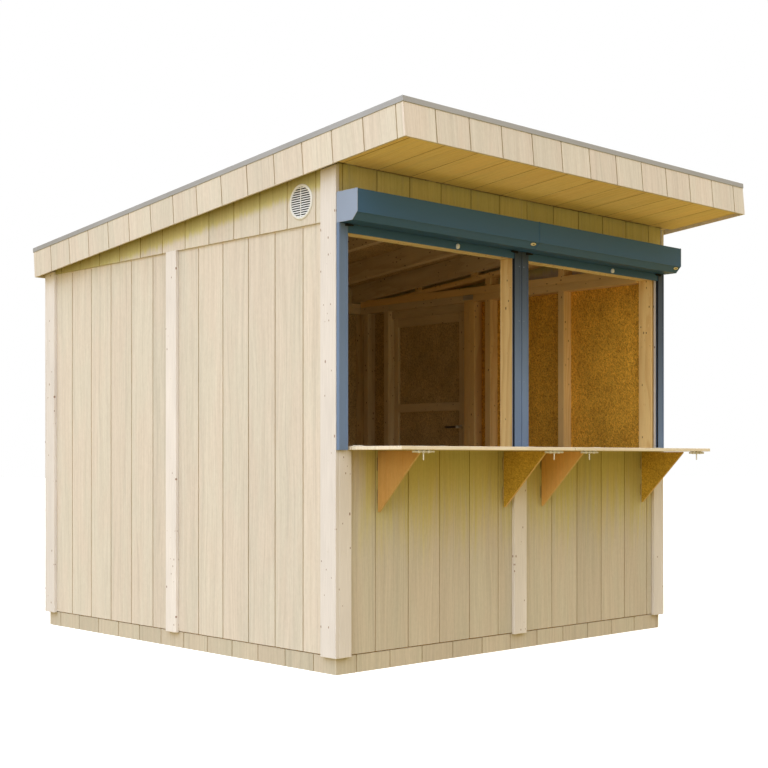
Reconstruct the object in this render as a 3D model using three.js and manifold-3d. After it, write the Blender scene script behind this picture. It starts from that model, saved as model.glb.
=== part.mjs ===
// A wooden garden kiosk with a mono-pitch roof, two roller-shutter serving openings, a folding
// counter on swinging brackets and a side door. Millimetres, +Z up, the serving front faces -Y.
import * as THREE from 'three';
import { mergeVertices } from 'three/addons/utils/BufferGeometryUtils.js';
import Module from 'manifold-3d';

const manifold = await Module();
manifold.setup();

// ---- driving dimensions -------------------------------------------------------------------
const WIDTH = 2416;               // over the corner boards, along X
const DEPTH = 2553;               // over the corner boards, along Y
const GAP = 0.3;                  // kept between pieces that touch

const TRIM = 20;                  // thickness of corner boards and battens
const TRIM_WIDTH = 92;
const CORNER_WIDTH = 105;         // corner board on the side walls
const CORNER_NARROW = 72;         // corner board's front face, beside the serving openings
const FRONT_BATTEN = 1163;        // left edge of the batten over the front seam
const SIDE_BATTEN = 1230;         // near edge of the battens on the side walls
const TRIM_BOTTOM = 75;
const SKIN_FACE = 18;             // wall face, back from the face of the trim
const SKIN = 10;                  // siding panel thickness
const STRIP_FACE = 8;             // upper siding strip, lapped over the wall below
const STUD = 45;                  // width of studs, plates and rails
const FRAME_OUT = SKIN_FACE + SKIN;
const SIDE_IN = FRAME_OUT + 70;   // inner face of the side and back walls' framing
const FRONT_IN = FRAME_OUT + 90;  // the front wall's posts are deeper

const PLINTH_FACE = 21;
const PLINTH_TOP = 82.5;
const BASE_IN = PLINTH_FACE + SKIN;
const BASE_TOP = 70;
const FLOOR_TOP = 88.3;
const SKIN_BOTTOM = 83;
const PLATE_BOTTOM = FLOOR_TOP + GAP;

const LINTEL = 1937;              // underside of the rail round the top of the lower walls
const OPENING_TOP = LINTEL + 11; // head of the serving openings
const RAIL_TOP = LINTEL + STUD;
const STRIP_BOTTOM = 1990;
const UPPER_RAIL_TOP = RAIL_TOP + STUD;
const FRONT_PLATE_BOTTOM = 2190;  // plate over the front wall, under the rafters
const FRONT_SEAM = WIDTH / 2;     // behind the middle batten

const SILL_TOP = 1002;
const SILL_FRONT = -26;
const SILL_X = [65, 2351];
const COUNTER_THICK = 16;
const SILL_WALL_TOP = SILL_TOP - COUNTER_THICK - GAP;
const OPENING_LEFT = 75;          // serving openings between the posts
const MIDDLE_POST = [1185.5, 1230.5];
const OPENING_RIGHT = WIDTH - OPENING_LEFT;

const ROOF_SLOPE = THREE.MathUtils.degToRad(5.2);
const ROOF_FRONT = -477;          // upper front edge of the roof
const ROOF_HEIGHT = 2427;
const ROOF_SIDE = 50;             // overhang past the corner boards
const ROOF_BACK = 41;
const ROOF_LENGTH = (DEPTH + ROOF_BACK - ROOF_FRONT) / Math.cos(ROOF_SLOPE);
const FASCIA_DROP = 167.6;        // roof edge height, square to the slope
const RAFTER_TOP = -21.6;         // below the roof's top surface
const RAFTER_BOTTOM = -141.6;
const DRIP_LIP = 2.5;
const DRIP_DROP = 25;

const SHUTTER_BACK = -2;
const GUIDE_FRONT = -20;
const GUIDE_LEFT = [3, 54];
const GUIDE_MIDDLE = [1144, 1245];
const GUIDE_RIGHT = [2338, 2389];

const DOOR_FRONT = 1465;          // doorway in the right-hand wall, along Y
const DOOR_BACK = 2173;
const DOOR_HEAD = 1901;
const MOVE_GAP = 5;
const DOOR = { inner: 2368, lock: 88, hinge: 40, top: 69, bottom: 90, midRail: [1256, 1311], bevel: 3 };
const DOOR_HINGE_PROUD = 6;

const BRACKET_X = [256, 1093, 1378, 2221];
const BRACKET_THICK = 12;
const BRACKET_REACH = 270;
const BRACKET_HEIGHT = 273;
const HINGE_Y = 10;               // bracket hinge axis, just off the wall

// ---- solid helpers ------------------------------------------------------------------------
function toSolid(source) {
  const geometry = source.clone();
  geometry.deleteAttribute('normal');
  geometry.deleteAttribute('uv');
  const merged = mergeVertices(geometry, 1e-4);
  return new manifold.Manifold(new manifold.Mesh({
    numProp: 3,
    vertProperties: new Float32Array(merged.attributes.position.array),
    triVerts: new Uint32Array(merged.index.array),
  }));
}

function toGeometry(solid) {
  const mesh = solid.getMesh();
  const geometry = new THREE.BufferGeometry();
  geometry.setAttribute('position', new THREE.BufferAttribute(mesh.vertProperties, 3));
  geometry.setIndex(new THREE.BufferAttribute(mesh.triVerts, 1));
  geometry.computeVertexNormals();
  return geometry;
}

// A box between two corners, each side given as [low, high]. Every corner takes the given
// numbers exactly, so that boxes meant to share a face do share it.
function boxGeometry(x, y, z) {
  const geometry = new THREE.BoxGeometry(1, 1, 1);
  const corners = geometry.attributes.position;
  const pick = (span, side) => (side < 0 ? span[0] : span[1]);
  for (let i = 0; i < corners.count; i += 1) {
    corners.setXYZ(i, pick(x, corners.getX(i)), pick(y, corners.getY(i)), pick(z, corners.getZ(i)));
  }
  return geometry;
}

const block = (x, y, z) => toSolid(boxGeometry(x, y, z));
const join = (solids) => solids.reduce((sum, solid) => sum.add(solid));

// A flat outline of [u, v] points, pushed along the third axis between two positions.
function prism(points, [from, to], plane) {
  const shape = new THREE.Shape(points.map(([u, v]) => new THREE.Vector2(u, v)));
  const geometry = new THREE.ExtrudeGeometry(shape, { depth: to - from, bevelEnabled: false });
  if (plane === 'yz') {
    geometry.applyMatrix4(new THREE.Matrix4().set(0, 0, 1, from, 1, 0, 0, 0, 0, 1, 0, 0, 0, 0, 0, 1));
  } else {
    geometry.translate(0, 0, from);
  }
  return geometry;
}

const mirrorX = ([x0, x1]) => [WIDTH - x1, WIDTH - x0];

// ---- materials ----------------------------------------------------------------------------
const MATERIALS = {
  siding: [0xd8c9a6, 0.75, 0],
  spruce: [0xe2d5c4, 0.7, 0],
  framing: [0xc99a5b, 0.75, 0],
  floorboard: [0xb08a55, 0.8, 0],
  shutter: [0x3c5560, 0.45, 0.3],
  drip: [0xa9adb2, 0.4, 0.8],
  bracket: [0xbe8c55, 0.75, 0],
  counter: [0xe4d7b8, 0.6, 0],
  plastic: [0xf0f0ec, 0.5, 0],
  steel: [0xb9bcbf, 0.35, 1],
};

const kiosk = new THREE.Group();
kiosk.position.set(-WIDTH / 2, 0, 0);

function piece(name, geometry, look, parent = kiosk) {
  const [color, roughness, metalness] = MATERIALS[look];
  const mesh = new THREE.Mesh(geometry, new THREE.MeshStandardMaterial({ color, roughness, metalness }));
  mesh.name = name;
  parent.add(mesh);
  return mesh;
}

const solidPiece = (name, solid, look, parent) => piece(name, toGeometry(solid), look, parent);

// An empty group on a hinge axis; what hangs on it is drawn in kiosk coordinates and moved over.
function hingeAt(x, y, z) {
  const hinge = new THREE.Group();
  hinge.position.set(x, y, z);
  kiosk.add(hinge);
  return hinge;
}

function hungPiece(name, geometry, look, hinge) {
  const { x, y, z } = hinge.position;
  return piece(name, geometry.translate(-x, -y, -z), look, hinge);
}

// ---- roof ---------------------------------------------------------------------------------
// Roof coordinates: origin on the upper front edge, +Y runs back down the slope, +Z is square
// to the roof, so everything below the top surface has a negative z.
const roof = new THREE.Group();
roof.position.set(0, ROOF_FRONT, ROOF_HEIGHT);
roof.rotation.x = -ROOF_SLOPE;
kiosk.add(roof);

const ROOF_X = [-ROOF_SIDE, WIDTH + ROOF_SIDE];
const FASCIA_IN_X = [ROOF_X[0] + SKIN + GAP, ROOF_X[1] - SKIN - GAP];
const FASCIA_IN_Y = [SKIN + GAP, ROOF_LENGTH - SKIN - GAP];
const DECK_TOP = -3.3;
const RAFTER_CENTRES = [93.5, 600, WIDTH / 2, WIDTH - 600, WIDTH - 93.5];

function buildRoof() {
  const coverX = [ROOF_X[0] - DRIP_LIP - GAP, ROOF_X[1] + DRIP_LIP + GAP];
  const coverY = [-DRIP_LIP - GAP, ROOF_LENGTH + DRIP_LIP + GAP];
  const cover = block(coverX, coverY, [-DRIP_DROP, 0]).subtract(block(
    [ROOF_X[0] - GAP, ROOF_X[1] + GAP],
    [-GAP, ROOF_LENGTH + GAP],
    [-DRIP_DROP - 1, DECK_TOP + GAP],
  ));
  solidPiece('roof_cover', cover, 'drip', roof);
  piece('roof_deck', boxGeometry(ROOF_X, [0, ROOF_LENGTH], [RAFTER_TOP + GAP, DECK_TOP]), 'framing', roof);

  const fasciaZ = [-FASCIA_DROP, RAFTER_TOP];
  const sideFasciaY = [SKIN + GAP, ROOF_LENGTH - SKIN - GAP];
  piece('fascia_front', boxGeometry(ROOF_X, [0, SKIN], fasciaZ), 'siding', roof);
  piece('fascia_back', boxGeometry(ROOF_X, [ROOF_LENGTH - SKIN, ROOF_LENGTH], fasciaZ), 'siding', roof);
  piece('fascia_left', boxGeometry([ROOF_X[0], ROOF_X[0] + SKIN], sideFasciaY, fasciaZ), 'siding', roof);
  piece('fascia_right', boxGeometry([ROOF_X[1] - SKIN, ROOF_X[1]], sideFasciaY, fasciaZ), 'siding', roof);

  const rafterZ = [RAFTER_BOTTOM, RAFTER_TOP];
  const [edgeLeft, edgeRight] = FASCIA_IN_X;
  const [front, back] = FASCIA_IN_Y;
  const rafters = RAFTER_CENTRES.map((x) => block([x - STUD / 2, x + STUD / 2], FASCIA_IN_Y, rafterZ));
  const frame = join([
    block(FASCIA_IN_X, [front, front + STUD], rafterZ),
    block(FASCIA_IN_X, [back - STUD, back], rafterZ),
    block([edgeLeft, edgeLeft + STUD], FASCIA_IN_Y, rafterZ),
    block([edgeRight - STUD, edgeRight], FASCIA_IN_Y, rafterZ),
    ...rafters,
  ]);
  solidPiece('roof_frame', frame, 'framing', roof);

  const soffitTop = RAFTER_BOTTOM - GAP;
  const wallFace = (-ROOF_FRONT - 0.5 - soffitTop * Math.sin(ROOF_SLOPE)) / Math.cos(ROOF_SLOPE);
  piece('soffit', boxGeometry(FASCIA_IN_X, [front, wallFace], [soffitTop - SKIN, soffitTop]), 'siding', roof);
}

// Everything above the underside of the rafters, to cut the sloping tops of walls and boards.
function roofSpace(drop = RAFTER_BOTTOM - 2 * GAP) {
  const space = boxGeometry([-500, WIDTH + 500], [-500, ROOF_LENGTH + 500], [drop, 900]);
  space.applyMatrix4(new THREE.Matrix4().makeRotationX(-ROOF_SLOPE));
  space.translate(0, ROOF_FRONT, ROOF_HEIGHT);
  return toSolid(space);
}

const underRoof = roofSpace();
const WALL_HIGH = 2400;           // uncut height of pieces that the roof trims

// ---- base ---------------------------------------------------------------------------------
const BASE_X = [BASE_IN + GAP, WIDTH - BASE_IN - GAP];
const BASE_Y = [BASE_IN + GAP, DEPTH - BASE_IN - GAP];

function buildBase() {
  const joists = [];
  const joistCount = 5;
  for (let i = 0; i < joistCount; i += 1) {
    const x = BASE_X[0] + ((BASE_X[1] - BASE_X[0] - STUD) * i) / (joistCount - 1);
    joists.push(block([x, x + STUD], BASE_Y, [0, BASE_TOP]));
  }
  const rims = [
    block(BASE_X, [BASE_Y[0], BASE_Y[0] + STUD], [0, BASE_TOP]),
    block(BASE_X, [BASE_Y[1] - STUD, BASE_Y[1]], [0, BASE_TOP]),
  ];
  solidPiece('base_frame', join([...joists, ...rims]), 'framing');
  piece('floor', boxGeometry(BASE_X, BASE_Y, [BASE_TOP + GAP, FLOOR_TOP]), 'floorboard');

  const plinthX = [PLINTH_FACE, WIDTH - PLINTH_FACE];
  const plinthY = [PLINTH_FACE, DEPTH - PLINTH_FACE];
  const inner = block([BASE_IN, WIDTH - BASE_IN], [BASE_IN, DEPTH - BASE_IN], [-1, PLINTH_TOP + 1]);
  solidPiece('plinth', block(plinthX, plinthY, [0, PLINTH_TOP]).subtract(inner), 'siding');
}

// ---- walls --------------------------------------------------------------------------------
const SKIN_SPAN = [SKIN_FACE, SKIN_FACE + SKIN];
const END_STUD = 607;             // stud a quarter of the way along the front and back walls
const UPPER_STUDS = [622, 1749];  // short studs over the openings
const SIDE_SPAN = [FRAME_OUT - 1, SIDE_IN];       // bites 1 mm into the siding it is nailed to
const FRONT_SPAN = [FRAME_OUT - 1, FRONT_IN];

// Bays between studs, as blocks to cut from a frame. Studs nailed side by side leave none.
function baysBetween(place, studs, end, across, up) {
  const ends = [...studs.slice(1), end];
  return studs
    .map((at, i) => [at + STUD, ends[i]])
    .filter(([from, to]) => to - from > 1)
    .map((along) => place(along, across, up));
}

// Half of the low front wall: siding, bottom and sill plates, one stud and the opening's post.
function buildFrontWall(name, mirrored) {
  const flip = mirrored ? mirrorX : (span) => span;
  const place = (along, across, up) => block(flip(along), across, up);
  const post = OPENING_LEFT - STUD;
  const end = MIDDLE_POST[0] - GAP;
  const bays = baysBetween(place, [post, END_STUD], end + 1, [FRAME_OUT, FRONT_IN + 1],
    [PLATE_BOTTOM + STUD, SILL_WALL_TOP - STUD]);
  const solid = join([
    place([post, end], FRONT_SPAN, [PLATE_BOTTOM, SILL_WALL_TOP]),
    place([post, post + STUD], FRONT_SPAN, [SILL_WALL_TOP - 1, OPENING_TOP - GAP]),
    place([TRIM + GAP, FRONT_SEAM - GAP], SKIN_SPAN, [SKIN_BOTTOM, SILL_WALL_TOP]),
  ]);
  solidPiece(name, solid.subtract(join(bays)), 'siding');
}

function buildFront() {
  buildFrontWall('front_wall_left', false);
  buildFrontWall('front_wall_right', true);

  const middle = join([
    block(MIDDLE_POST, [FRAME_OUT + GAP, FRONT_IN], [PLATE_BOTTOM, OPENING_TOP - GAP]),
    block(MIDDLE_POST, [GAP, FRONT_IN], [SILL_WALL_TOP + GAP, OPENING_TOP - GAP]),
  ]);
  solidPiece('front_post_middle', middle, 'framing');

  // Lintel rail, upper siding strip and its short studs, cut to the slope of the rafters.
  const fullX = [FRAME_OUT + 2, WIDTH - FRAME_OUT - 2];
  const studs = [fullX[0], UPPER_STUDS[0], MIDDLE_POST[0], UPPER_STUDS[1], fullX[1] - STUD];
  const bays = baysBetween(block, studs, fullX[1], [FRAME_OUT, FRONT_IN + 1],
    [UPPER_RAIL_TOP, FRONT_PLATE_BOTTOM]);
  const upper = join([
    block(fullX, FRONT_SPAN, [OPENING_TOP, WALL_HIGH]),
    block([TRIM + GAP, WIDTH - TRIM - GAP], [STRIP_FACE, FRAME_OUT], [RAIL_TOP, WALL_HIGH]),
  ]);
  solidPiece('front_upper_wall', upper.subtract(join(bays)).subtract(underRoof), 'siding');

  // Sill board over the low wall, notched round the posts, with the counter hinged to its edge.
  const posts = [[0, OPENING_LEFT + GAP], [MIDDLE_POST[0] - GAP, MIDDLE_POST[1] + GAP],
    [OPENING_RIGHT - GAP, WIDTH]];
  const notchZ = [SILL_WALL_TOP, SILL_TOP + 1];
  const notches = posts.map((x) => block(x, [0, FRONT_IN + 1], notchZ));
  notches.push(block([GUIDE_RIGHT[0] - GAP, WIDTH], [GUIDE_FRONT - GAP, FRAME_OUT], notchZ));
  const board = block(SILL_X, [SILL_FRONT, FRONT_IN], [SILL_TOP - COUNTER_THICK, SILL_TOP]);
  solidPiece('sill_board', board.subtract(join(notches)), 'counter');
}

// A stretch of wall: siding with a frame of plates and studs behind it. Spans run along the
// wall, and `place` turns (along, across, up) into a block.
function wallPanel(name, place, skinAlong, frameAlong, studs, top) {
  const bays = baysBetween(place, studs, frameAlong[1] + 1, [FRAME_OUT, SIDE_IN + 1],
    [PLATE_BOTTOM + STUD, LINTEL]);
  const solid = join([
    place(frameAlong, SIDE_SPAN, [PLATE_BOTTOM, top]),
    place(skinAlong, SKIN_SPAN, [SKIN_BOTTOM, top]),
  ]);
  solidPiece(name, solid.subtract(join(bays)).subtract(underRoof), 'siding');
}

const onLeft = (along, across, up) => block(across, along, up);
const onRight = (along, across, up) => block(mirrorX(across), along, up);
const onBack = (along, across, up) => block(along, [DEPTH - across[1], DEPTH - across[0]], up);

const SIDE_FRAME = [FRONT_IN + GAP, DEPTH - SIDE_IN - GAP];
const SIDE_SKIN = [FRAME_OUT + GAP, DEPTH - SKIN_FACE - GAP];
const SIDE_STUDS = [645, 1239, 1850];
const LAST_STUD = 2379;
const CORNER_POST = SIDE_FRAME[0] - STUD - 1;   // the front wall's end post closes the first bay

function buildSideWalls() {
  const top = RAIL_TOP;
  wallPanel('left_wall', onLeft, SIDE_SKIN, SIDE_FRAME, [CORNER_POST, ...SIDE_STUDS, LAST_STUD], top);

  const beforeDoor = [CORNER_POST, SIDE_STUDS[0], SIDE_STUDS[1], DOOR_FRONT - 2 * STUD, DOOR_FRONT - STUD];
  wallPanel('right_wall_front', onRight, [SIDE_SKIN[0], DOOR_FRONT], [SIDE_FRAME[0], DOOR_FRONT],
    beforeDoor, top);
  wallPanel('right_wall_back', onRight, [DOOR_BACK, SIDE_SKIN[1]], [DOOR_BACK, SIDE_FRAME[1]],
    [DOOR_BACK, LAST_STUD], top);

  // Rail over the doorway with a head strip that the leaf closes under.
  const headAlong = [DOOR_FRONT + GAP, DOOR_BACK - GAP];
  const header = join([
    onRight(headAlong, [SKIN_FACE, SIDE_IN], [LINTEL, RAIL_TOP]),
    onRight(headAlong, [SKIN_FACE, WIDTH - DOOR.inner], [DOOR_HEAD, LINTEL + 1]),
  ]);
  solidPiece('door_header', header, 'siding');
}

// Upper siding strip of a side wall with its rail, short studs and sloping plate.
function buildUpperSide(name, place, vented) {
  const strip = [CORNER_WIDTH + GAP, DEPTH - CORNER_WIDTH - GAP];
  const studs = [SIDE_FRAME[0], ...SIDE_STUDS, SIDE_FRAME[1] - STUD];
  const bays = baysBetween(place, studs, SIDE_FRAME[1], [SKIN_FACE + 1, SIDE_IN + 1],
    [UPPER_RAIL_TOP, WALL_HIGH]).map((bay) => bay.subtract(roofSpace(RAFTER_BOTTOM - STUD)));
  const frame = join([
    place(SIDE_FRAME, [SKIN_FACE, SIDE_IN], [RAIL_TOP + GAP, WALL_HIGH]),
    place(strip, [STRIP_FACE, SKIN_FACE + 1], [STRIP_BOTTOM, WALL_HIGH]),
  ]);
  let wall = frame.subtract(join(bays)).subtract(underRoof);
  if (vented) {
    const bore = new THREE.CylinderGeometry(VENT.bore, VENT.bore, 80, 48);
    bore.rotateZ(Math.PI / 2).translate(STRIP_FACE, VENT.y, VENT.z);
    wall = wall.subtract(toSolid(bore));
  }
  solidPiece(name, wall, 'siding');
}

const VENT = { y: 247, z: 2099, radius: 80, bore: 58, collar: 57, thick: 5 };

function buildUpperSides() {
  buildUpperSide('left_upper_wall', onLeft, true);
  buildUpperSide('right_upper_wall', onRight, false);

  // Round vent cover with a short collar in the wall's bore.
  const profile = [[0, -VENT.thick], [VENT.radius - 2, -VENT.thick], [VENT.radius, -1], [VENT.radius, 0],
    [VENT.collar, 0], [VENT.collar, 30], [VENT.collar - 2, 30], [VENT.collar - 2, 0], [0, 0]];
  const cover = new THREE.LatheGeometry(profile.map(([r, h]) => new THREE.Vector2(r, h)), 48);
  cover.rotateZ(-Math.PI / 2);
  piece('vent_cover', cover, 'plastic').position.set(STRIP_FACE - GAP, VENT.y, VENT.z);
}

function buildBackWall() {
  const frame = [FRAME_OUT + 2, WIDTH - FRAME_OUT - 2];
  const studs = [frame[0], END_STUD, (WIDTH - STUD) / 2, WIDTH - END_STUD - STUD, frame[1] - STUD];
  wallPanel('back_wall', onBack, [FRAME_OUT + GAP, WIDTH - FRAME_OUT - GAP], frame, studs, WALL_HIGH);
}

// ---- corner boards, battens and door casing ------------------------------------------------
function buildCorners() {
  const soffitSpace = roofSpace(RAFTER_BOTTOM - SKIN - 3 * GAP);
  const flips = { left: (span) => span, right: mirrorX };
  Object.entries(flips).forEach(([side, flip]) => {
    const front = join([
      block(flip([0, TRIM]), [0, CORNER_WIDTH], [TRIM_BOTTOM, WALL_HIGH]),
      block(flip([TRIM - 1, TRIM_WIDTH]), [0, SKIN_FACE - GAP], [TRIM_BOTTOM, SILL_WALL_TOP]),
      block(flip([TRIM - 1, CORNER_NARROW]), [0, SKIN_FACE - GAP], [TRIM_BOTTOM, RAIL_TOP - GAP]),
    ]);
    const flush = front.subtract(block([-1, WIDTH + 1], [SKIN_FACE, 200], [0, WALL_HIGH])
      .intersect(block(flip([SKIN_FACE - GAP, 200]), [SKIN_FACE, 200], [0, WALL_HIGH])));
    solidPiece(`corner_board_front_${side}`, flush.subtract(soffitSpace), 'spruce');

    const backFace = [DEPTH - SKIN_FACE + GAP, DEPTH];
    const back = join([
      block(flip([0, SKIN_FACE - GAP]), [DEPTH - CORNER_WIDTH, DEPTH], [TRIM_BOTTOM, WALL_HIGH]),
      block(flip([1, TRIM_WIDTH]), backFace, [TRIM_BOTTOM, WALL_HIGH]),
    ]);
    solidPiece(`corner_board_back_${side}`, back.subtract(soffitSpace), 'spruce');
  });
}

function buildBattens() {
  const across = [0, SKIN_FACE - GAP];
  const sideTop = STRIP_BOTTOM - GAP;
  const sideAlong = [SIDE_BATTEN, SIDE_BATTEN + TRIM_WIDTH];
  const frontX = [FRONT_BATTEN, FRONT_BATTEN + TRIM_WIDTH];
  piece('front_batten', boxGeometry(frontX, across, [TRIM_BOTTOM, SILL_WALL_TOP]), 'spruce');
  piece('left_batten', boxGeometry(across, sideAlong, [TRIM_BOTTOM, sideTop]), 'spruce');
  piece('right_batten', boxGeometry(mirrorX(across), sideAlong, [TRIM_BOTTOM, sideTop]), 'spruce');
  const backX = [(WIDTH - TRIM_WIDTH) / 2, (WIDTH + TRIM_WIDTH) / 2];
  const back = block(backX, [DEPTH - across[1], DEPTH], [TRIM_BOTTOM, WALL_HIGH]);
  solidPiece('back_batten', back.subtract(underRoof), 'spruce');

  const jambs = [[DOOR_FRONT - TRIM_WIDTH, DOOR_FRONT], [DOOR_BACK, DOOR_BACK + TRIM_WIDTH]];
  const casing = join([
    ...jambs.map((along) => onRight(along, across, [TRIM_BOTTOM, sideTop])),
    onRight([jambs[0][0], jambs[1][1]], across, [DOOR_HEAD, sideTop]),
  ]);
  solidPiece('door_casing', casing, 'spruce');
}

// ---- roller shutters -----------------------------------------------------------------------
const BOX_FRONT = -139;
const BOX = { top: 2108, fold: 2009, bottom: 1974, chamferBack: -106 };

// A closed housing with a slanting lower front edge.
function shutterBox(name, x) {
  const outline = [[SHUTTER_BACK, BOX.bottom], [SHUTTER_BACK, BOX.top], [BOX_FRONT, BOX.top],
    [BOX_FRONT, BOX.fold], [BOX.chamferBack, BOX.bottom]];
  piece(name, prism(outline, x, 'yz'), 'shutter');
}

const SHUTTER_X = [3, 1194, 2385];

function buildShutters() {
  shutterBox('shutter_box_left', [SHUTTER_X[0], SHUTTER_X[1] - GAP]);
  shutterBox('shutter_box_right', [SHUTTER_X[1] + GAP, SHUTTER_X[2]]);
  const guideTop = BOX.bottom - GAP;
  const guideY = [GUIDE_FRONT, SHUTTER_BACK];
  const sideZ = [SILL_WALL_TOP, guideTop];
  piece('shutter_guide_left', boxGeometry(GUIDE_LEFT, guideY, sideZ), 'shutter');
  piece('shutter_guide_middle', boxGeometry(GUIDE_MIDDLE, guideY, [SILL_TOP + GAP, guideTop]), 'shutter');
  piece('shutter_guide_right', boxGeometry(GUIDE_RIGHT, guideY, sideZ), 'shutter');
  const barY = [-16, -6];
  const barZ = [LINTEL + 3, guideTop];
  const barLeft = [GUIDE_LEFT[1] + GAP, GUIDE_MIDDLE[0] - GAP];
  const barRight = [GUIDE_MIDDLE[1] + GAP, GUIDE_RIGHT[0] - GAP];
  piece('shutter_bar_left', boxGeometry(barLeft, barY, barZ), 'shutter');
  piece('shutter_bar_right', boxGeometry(barRight, barY, barZ), 'shutter');
}

// ---- folding counter -----------------------------------------------------------------------
const COUNTER_AXIS = { y: -28.5, z: SILL_TOP + 3 };
const COUNTER_FRONT = -350;

function buildCounter() {
  const leaves = { left: [SILL_X[0], WIDTH / 2 - 3], right: [WIDTH / 2 + 3, SILL_X[1]] };
  const y = [COUNTER_FRONT, SILL_FRONT - MOVE_GAP];
  Object.entries(leaves).forEach(([side, x]) => {
    const hinge = hingeAt(0, COUNTER_AXIS.y, COUNTER_AXIS.z);
    const leaf = boxGeometry(x, y, [SILL_TOP - COUNTER_THICK, SILL_TOP]);
    hungPiece(`counter_leaf_${side}`, leaf, 'counter', hinge);
  });
}

// Triangular plates in the plane of their hinges: a straight back edge and a straight top edge.
// The first and third swing to the right, the others to the left.
function buildBrackets() {
  const top = SILL_TOP - COUNTER_THICK - MOVE_GAP;
  const back = HINGE_Y - 1;
  const nose = 6;
  const outline = [[back, top], [back - BRACKET_REACH, top], [back - BRACKET_REACH, top - nose],
    [back - nose, top - BRACKET_HEIGHT], [back, top - BRACKET_HEIGHT]];
  BRACKET_X.forEach((x, index) => {
    const hinge = hingeAt(index % 2 === 0 ? x + BRACKET_THICK + 1 : x - 1, HINGE_Y, 0);
    const plate = prism(outline, [x, x + BRACKET_THICK], 'yz');
    hungPiece(`counter_bracket_${index + 1}`, plate, 'bracket', hinge);
  });
}

// ---- side door ------------------------------------------------------------------------------
const HANDLE = { y: DOOR_FRONT + 70, z: 1149, rose: 26, neck: 9, lever: 105, reach: 50 };

function buildDoor() {
  const hinge = hingeAt(WIDTH + DOOR_HINGE_PROUD, DOOR_BACK - MOVE_GAP / 2, 0);
  const y = [DOOR_FRONT + MOVE_GAP, DOOR_BACK - MOVE_GAP];
  const z = [FLOOR_TOP + MOVE_GAP, DOOR_HEAD - MOVE_GAP];
  const ring = (x, innerY, innerZ) => block(x, y, z).subtract(block([x[0] - 1, x[1] + 1], innerY, innerZ));
  const frameX = [DOOR.inner, WIDTH - FRAME_OUT + 1];
  const pocketZ = [z[0] + DOOR.bottom, z[1] - DOOR.top];
  const boards = [z[0] + TRIM_WIDTH, z[1] - TRIM_WIDTH];
  const leaf = join([
    block([WIDTH - FRAME_OUT, WIDTH - SKIN_FACE], y, z),
    ring(frameX, [y[0] + DOOR.lock, y[1] - DOOR.hinge], pocketZ),
    block(frameX, y, DOOR.midRail),
    ring([WIDTH - SKIN_FACE - 1, WIDTH], [y[0] + TRIM_WIDTH, y[1] - TRIM_WIDTH], boards),
  ]);

  // The lock edge is bevelled so that its inner corner clears the jamb as the door swings.
  const bevel = prism(
    [[DOOR.inner - 1, y[0] - 1], [WIDTH, y[0] - 1], [WIDTH, y[0]], [DOOR.inner, y[0] + DOOR.bevel],
      [DOOR.inner - 1, y[0] + DOOR.bevel]], [z[0] - 1, z[1] + 1], 'xy');
  const spindleHole = handleBar(HANDLE.neck + GAP, [DOOR.inner - 1, WIDTH + 1]);
  const hung = leaf.subtract(toSolid(bevel)).subtract(spindleHole);
  hungPiece('side_door', toGeometry(hung), 'siding', hinge);

  // Lever handles on both faces, each on a round rose, joined by the spindle through the door.
  const faces = [[DOOR.inner - GAP, -1], [WIDTH + GAP, 1]];
  const parts = faces.flatMap(([face, out]) => {
    const span = (near, far) => [face + out * near, face + out * far].sort((p, q) => p - q);
    const leverY = [HANDLE.y - HANDLE.neck, HANDLE.y + HANDLE.lever];
    return [
      handleBar(HANDLE.rose, span(0, 8)),
      block(span(HANDLE.reach - 12, HANDLE.reach), leverY, [HANDLE.z - HANDLE.neck, HANDLE.z + HANDLE.neck]),
    ];
  });
  const spindle = handleBar(HANDLE.neck, [DOOR.inner - HANDLE.reach + 1, WIDTH + HANDLE.reach - 1]);
  hungPiece('door_handle', toGeometry(join([...parts, spindle])), 'steel', hinge);
}

// A round bar across the door on the handle's axis.
function handleBar(radius, [x0, x1]) {
  const bar = new THREE.CylinderGeometry(radius, radius, x1 - x0, 24);
  return toSolid(bar.rotateZ(Math.PI / 2).translate((x0 + x1) / 2, HANDLE.y, HANDLE.z));
}

buildRoof();
buildBase();
buildFront();
buildSideWalls();
buildUpperSides();
buildBackWall();
buildCorners();
buildBattens();
buildShutters();
buildCounter();
buildBrackets();
buildDoor();

// The origin lies on the ground under the middle of the whole object's box.
const bounds = new THREE.Box3().setFromObject(kiosk);
kiosk.position.y -= (bounds.min.y + bounds.max.y) / 2;

export default kiosk;
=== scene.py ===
"""A wooden garden kiosk: grooved siding on a timber frame, two roller-shutter openings, a folding
counter on four brackets and a side door. Shapes are worked out in kiosk millimetres: the origin
is the kiosk's left front corner on the ground, the serving front faces -Y."""
import math
import random

import bmesh
import bpy
from mathutils import Matrix, Vector


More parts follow.
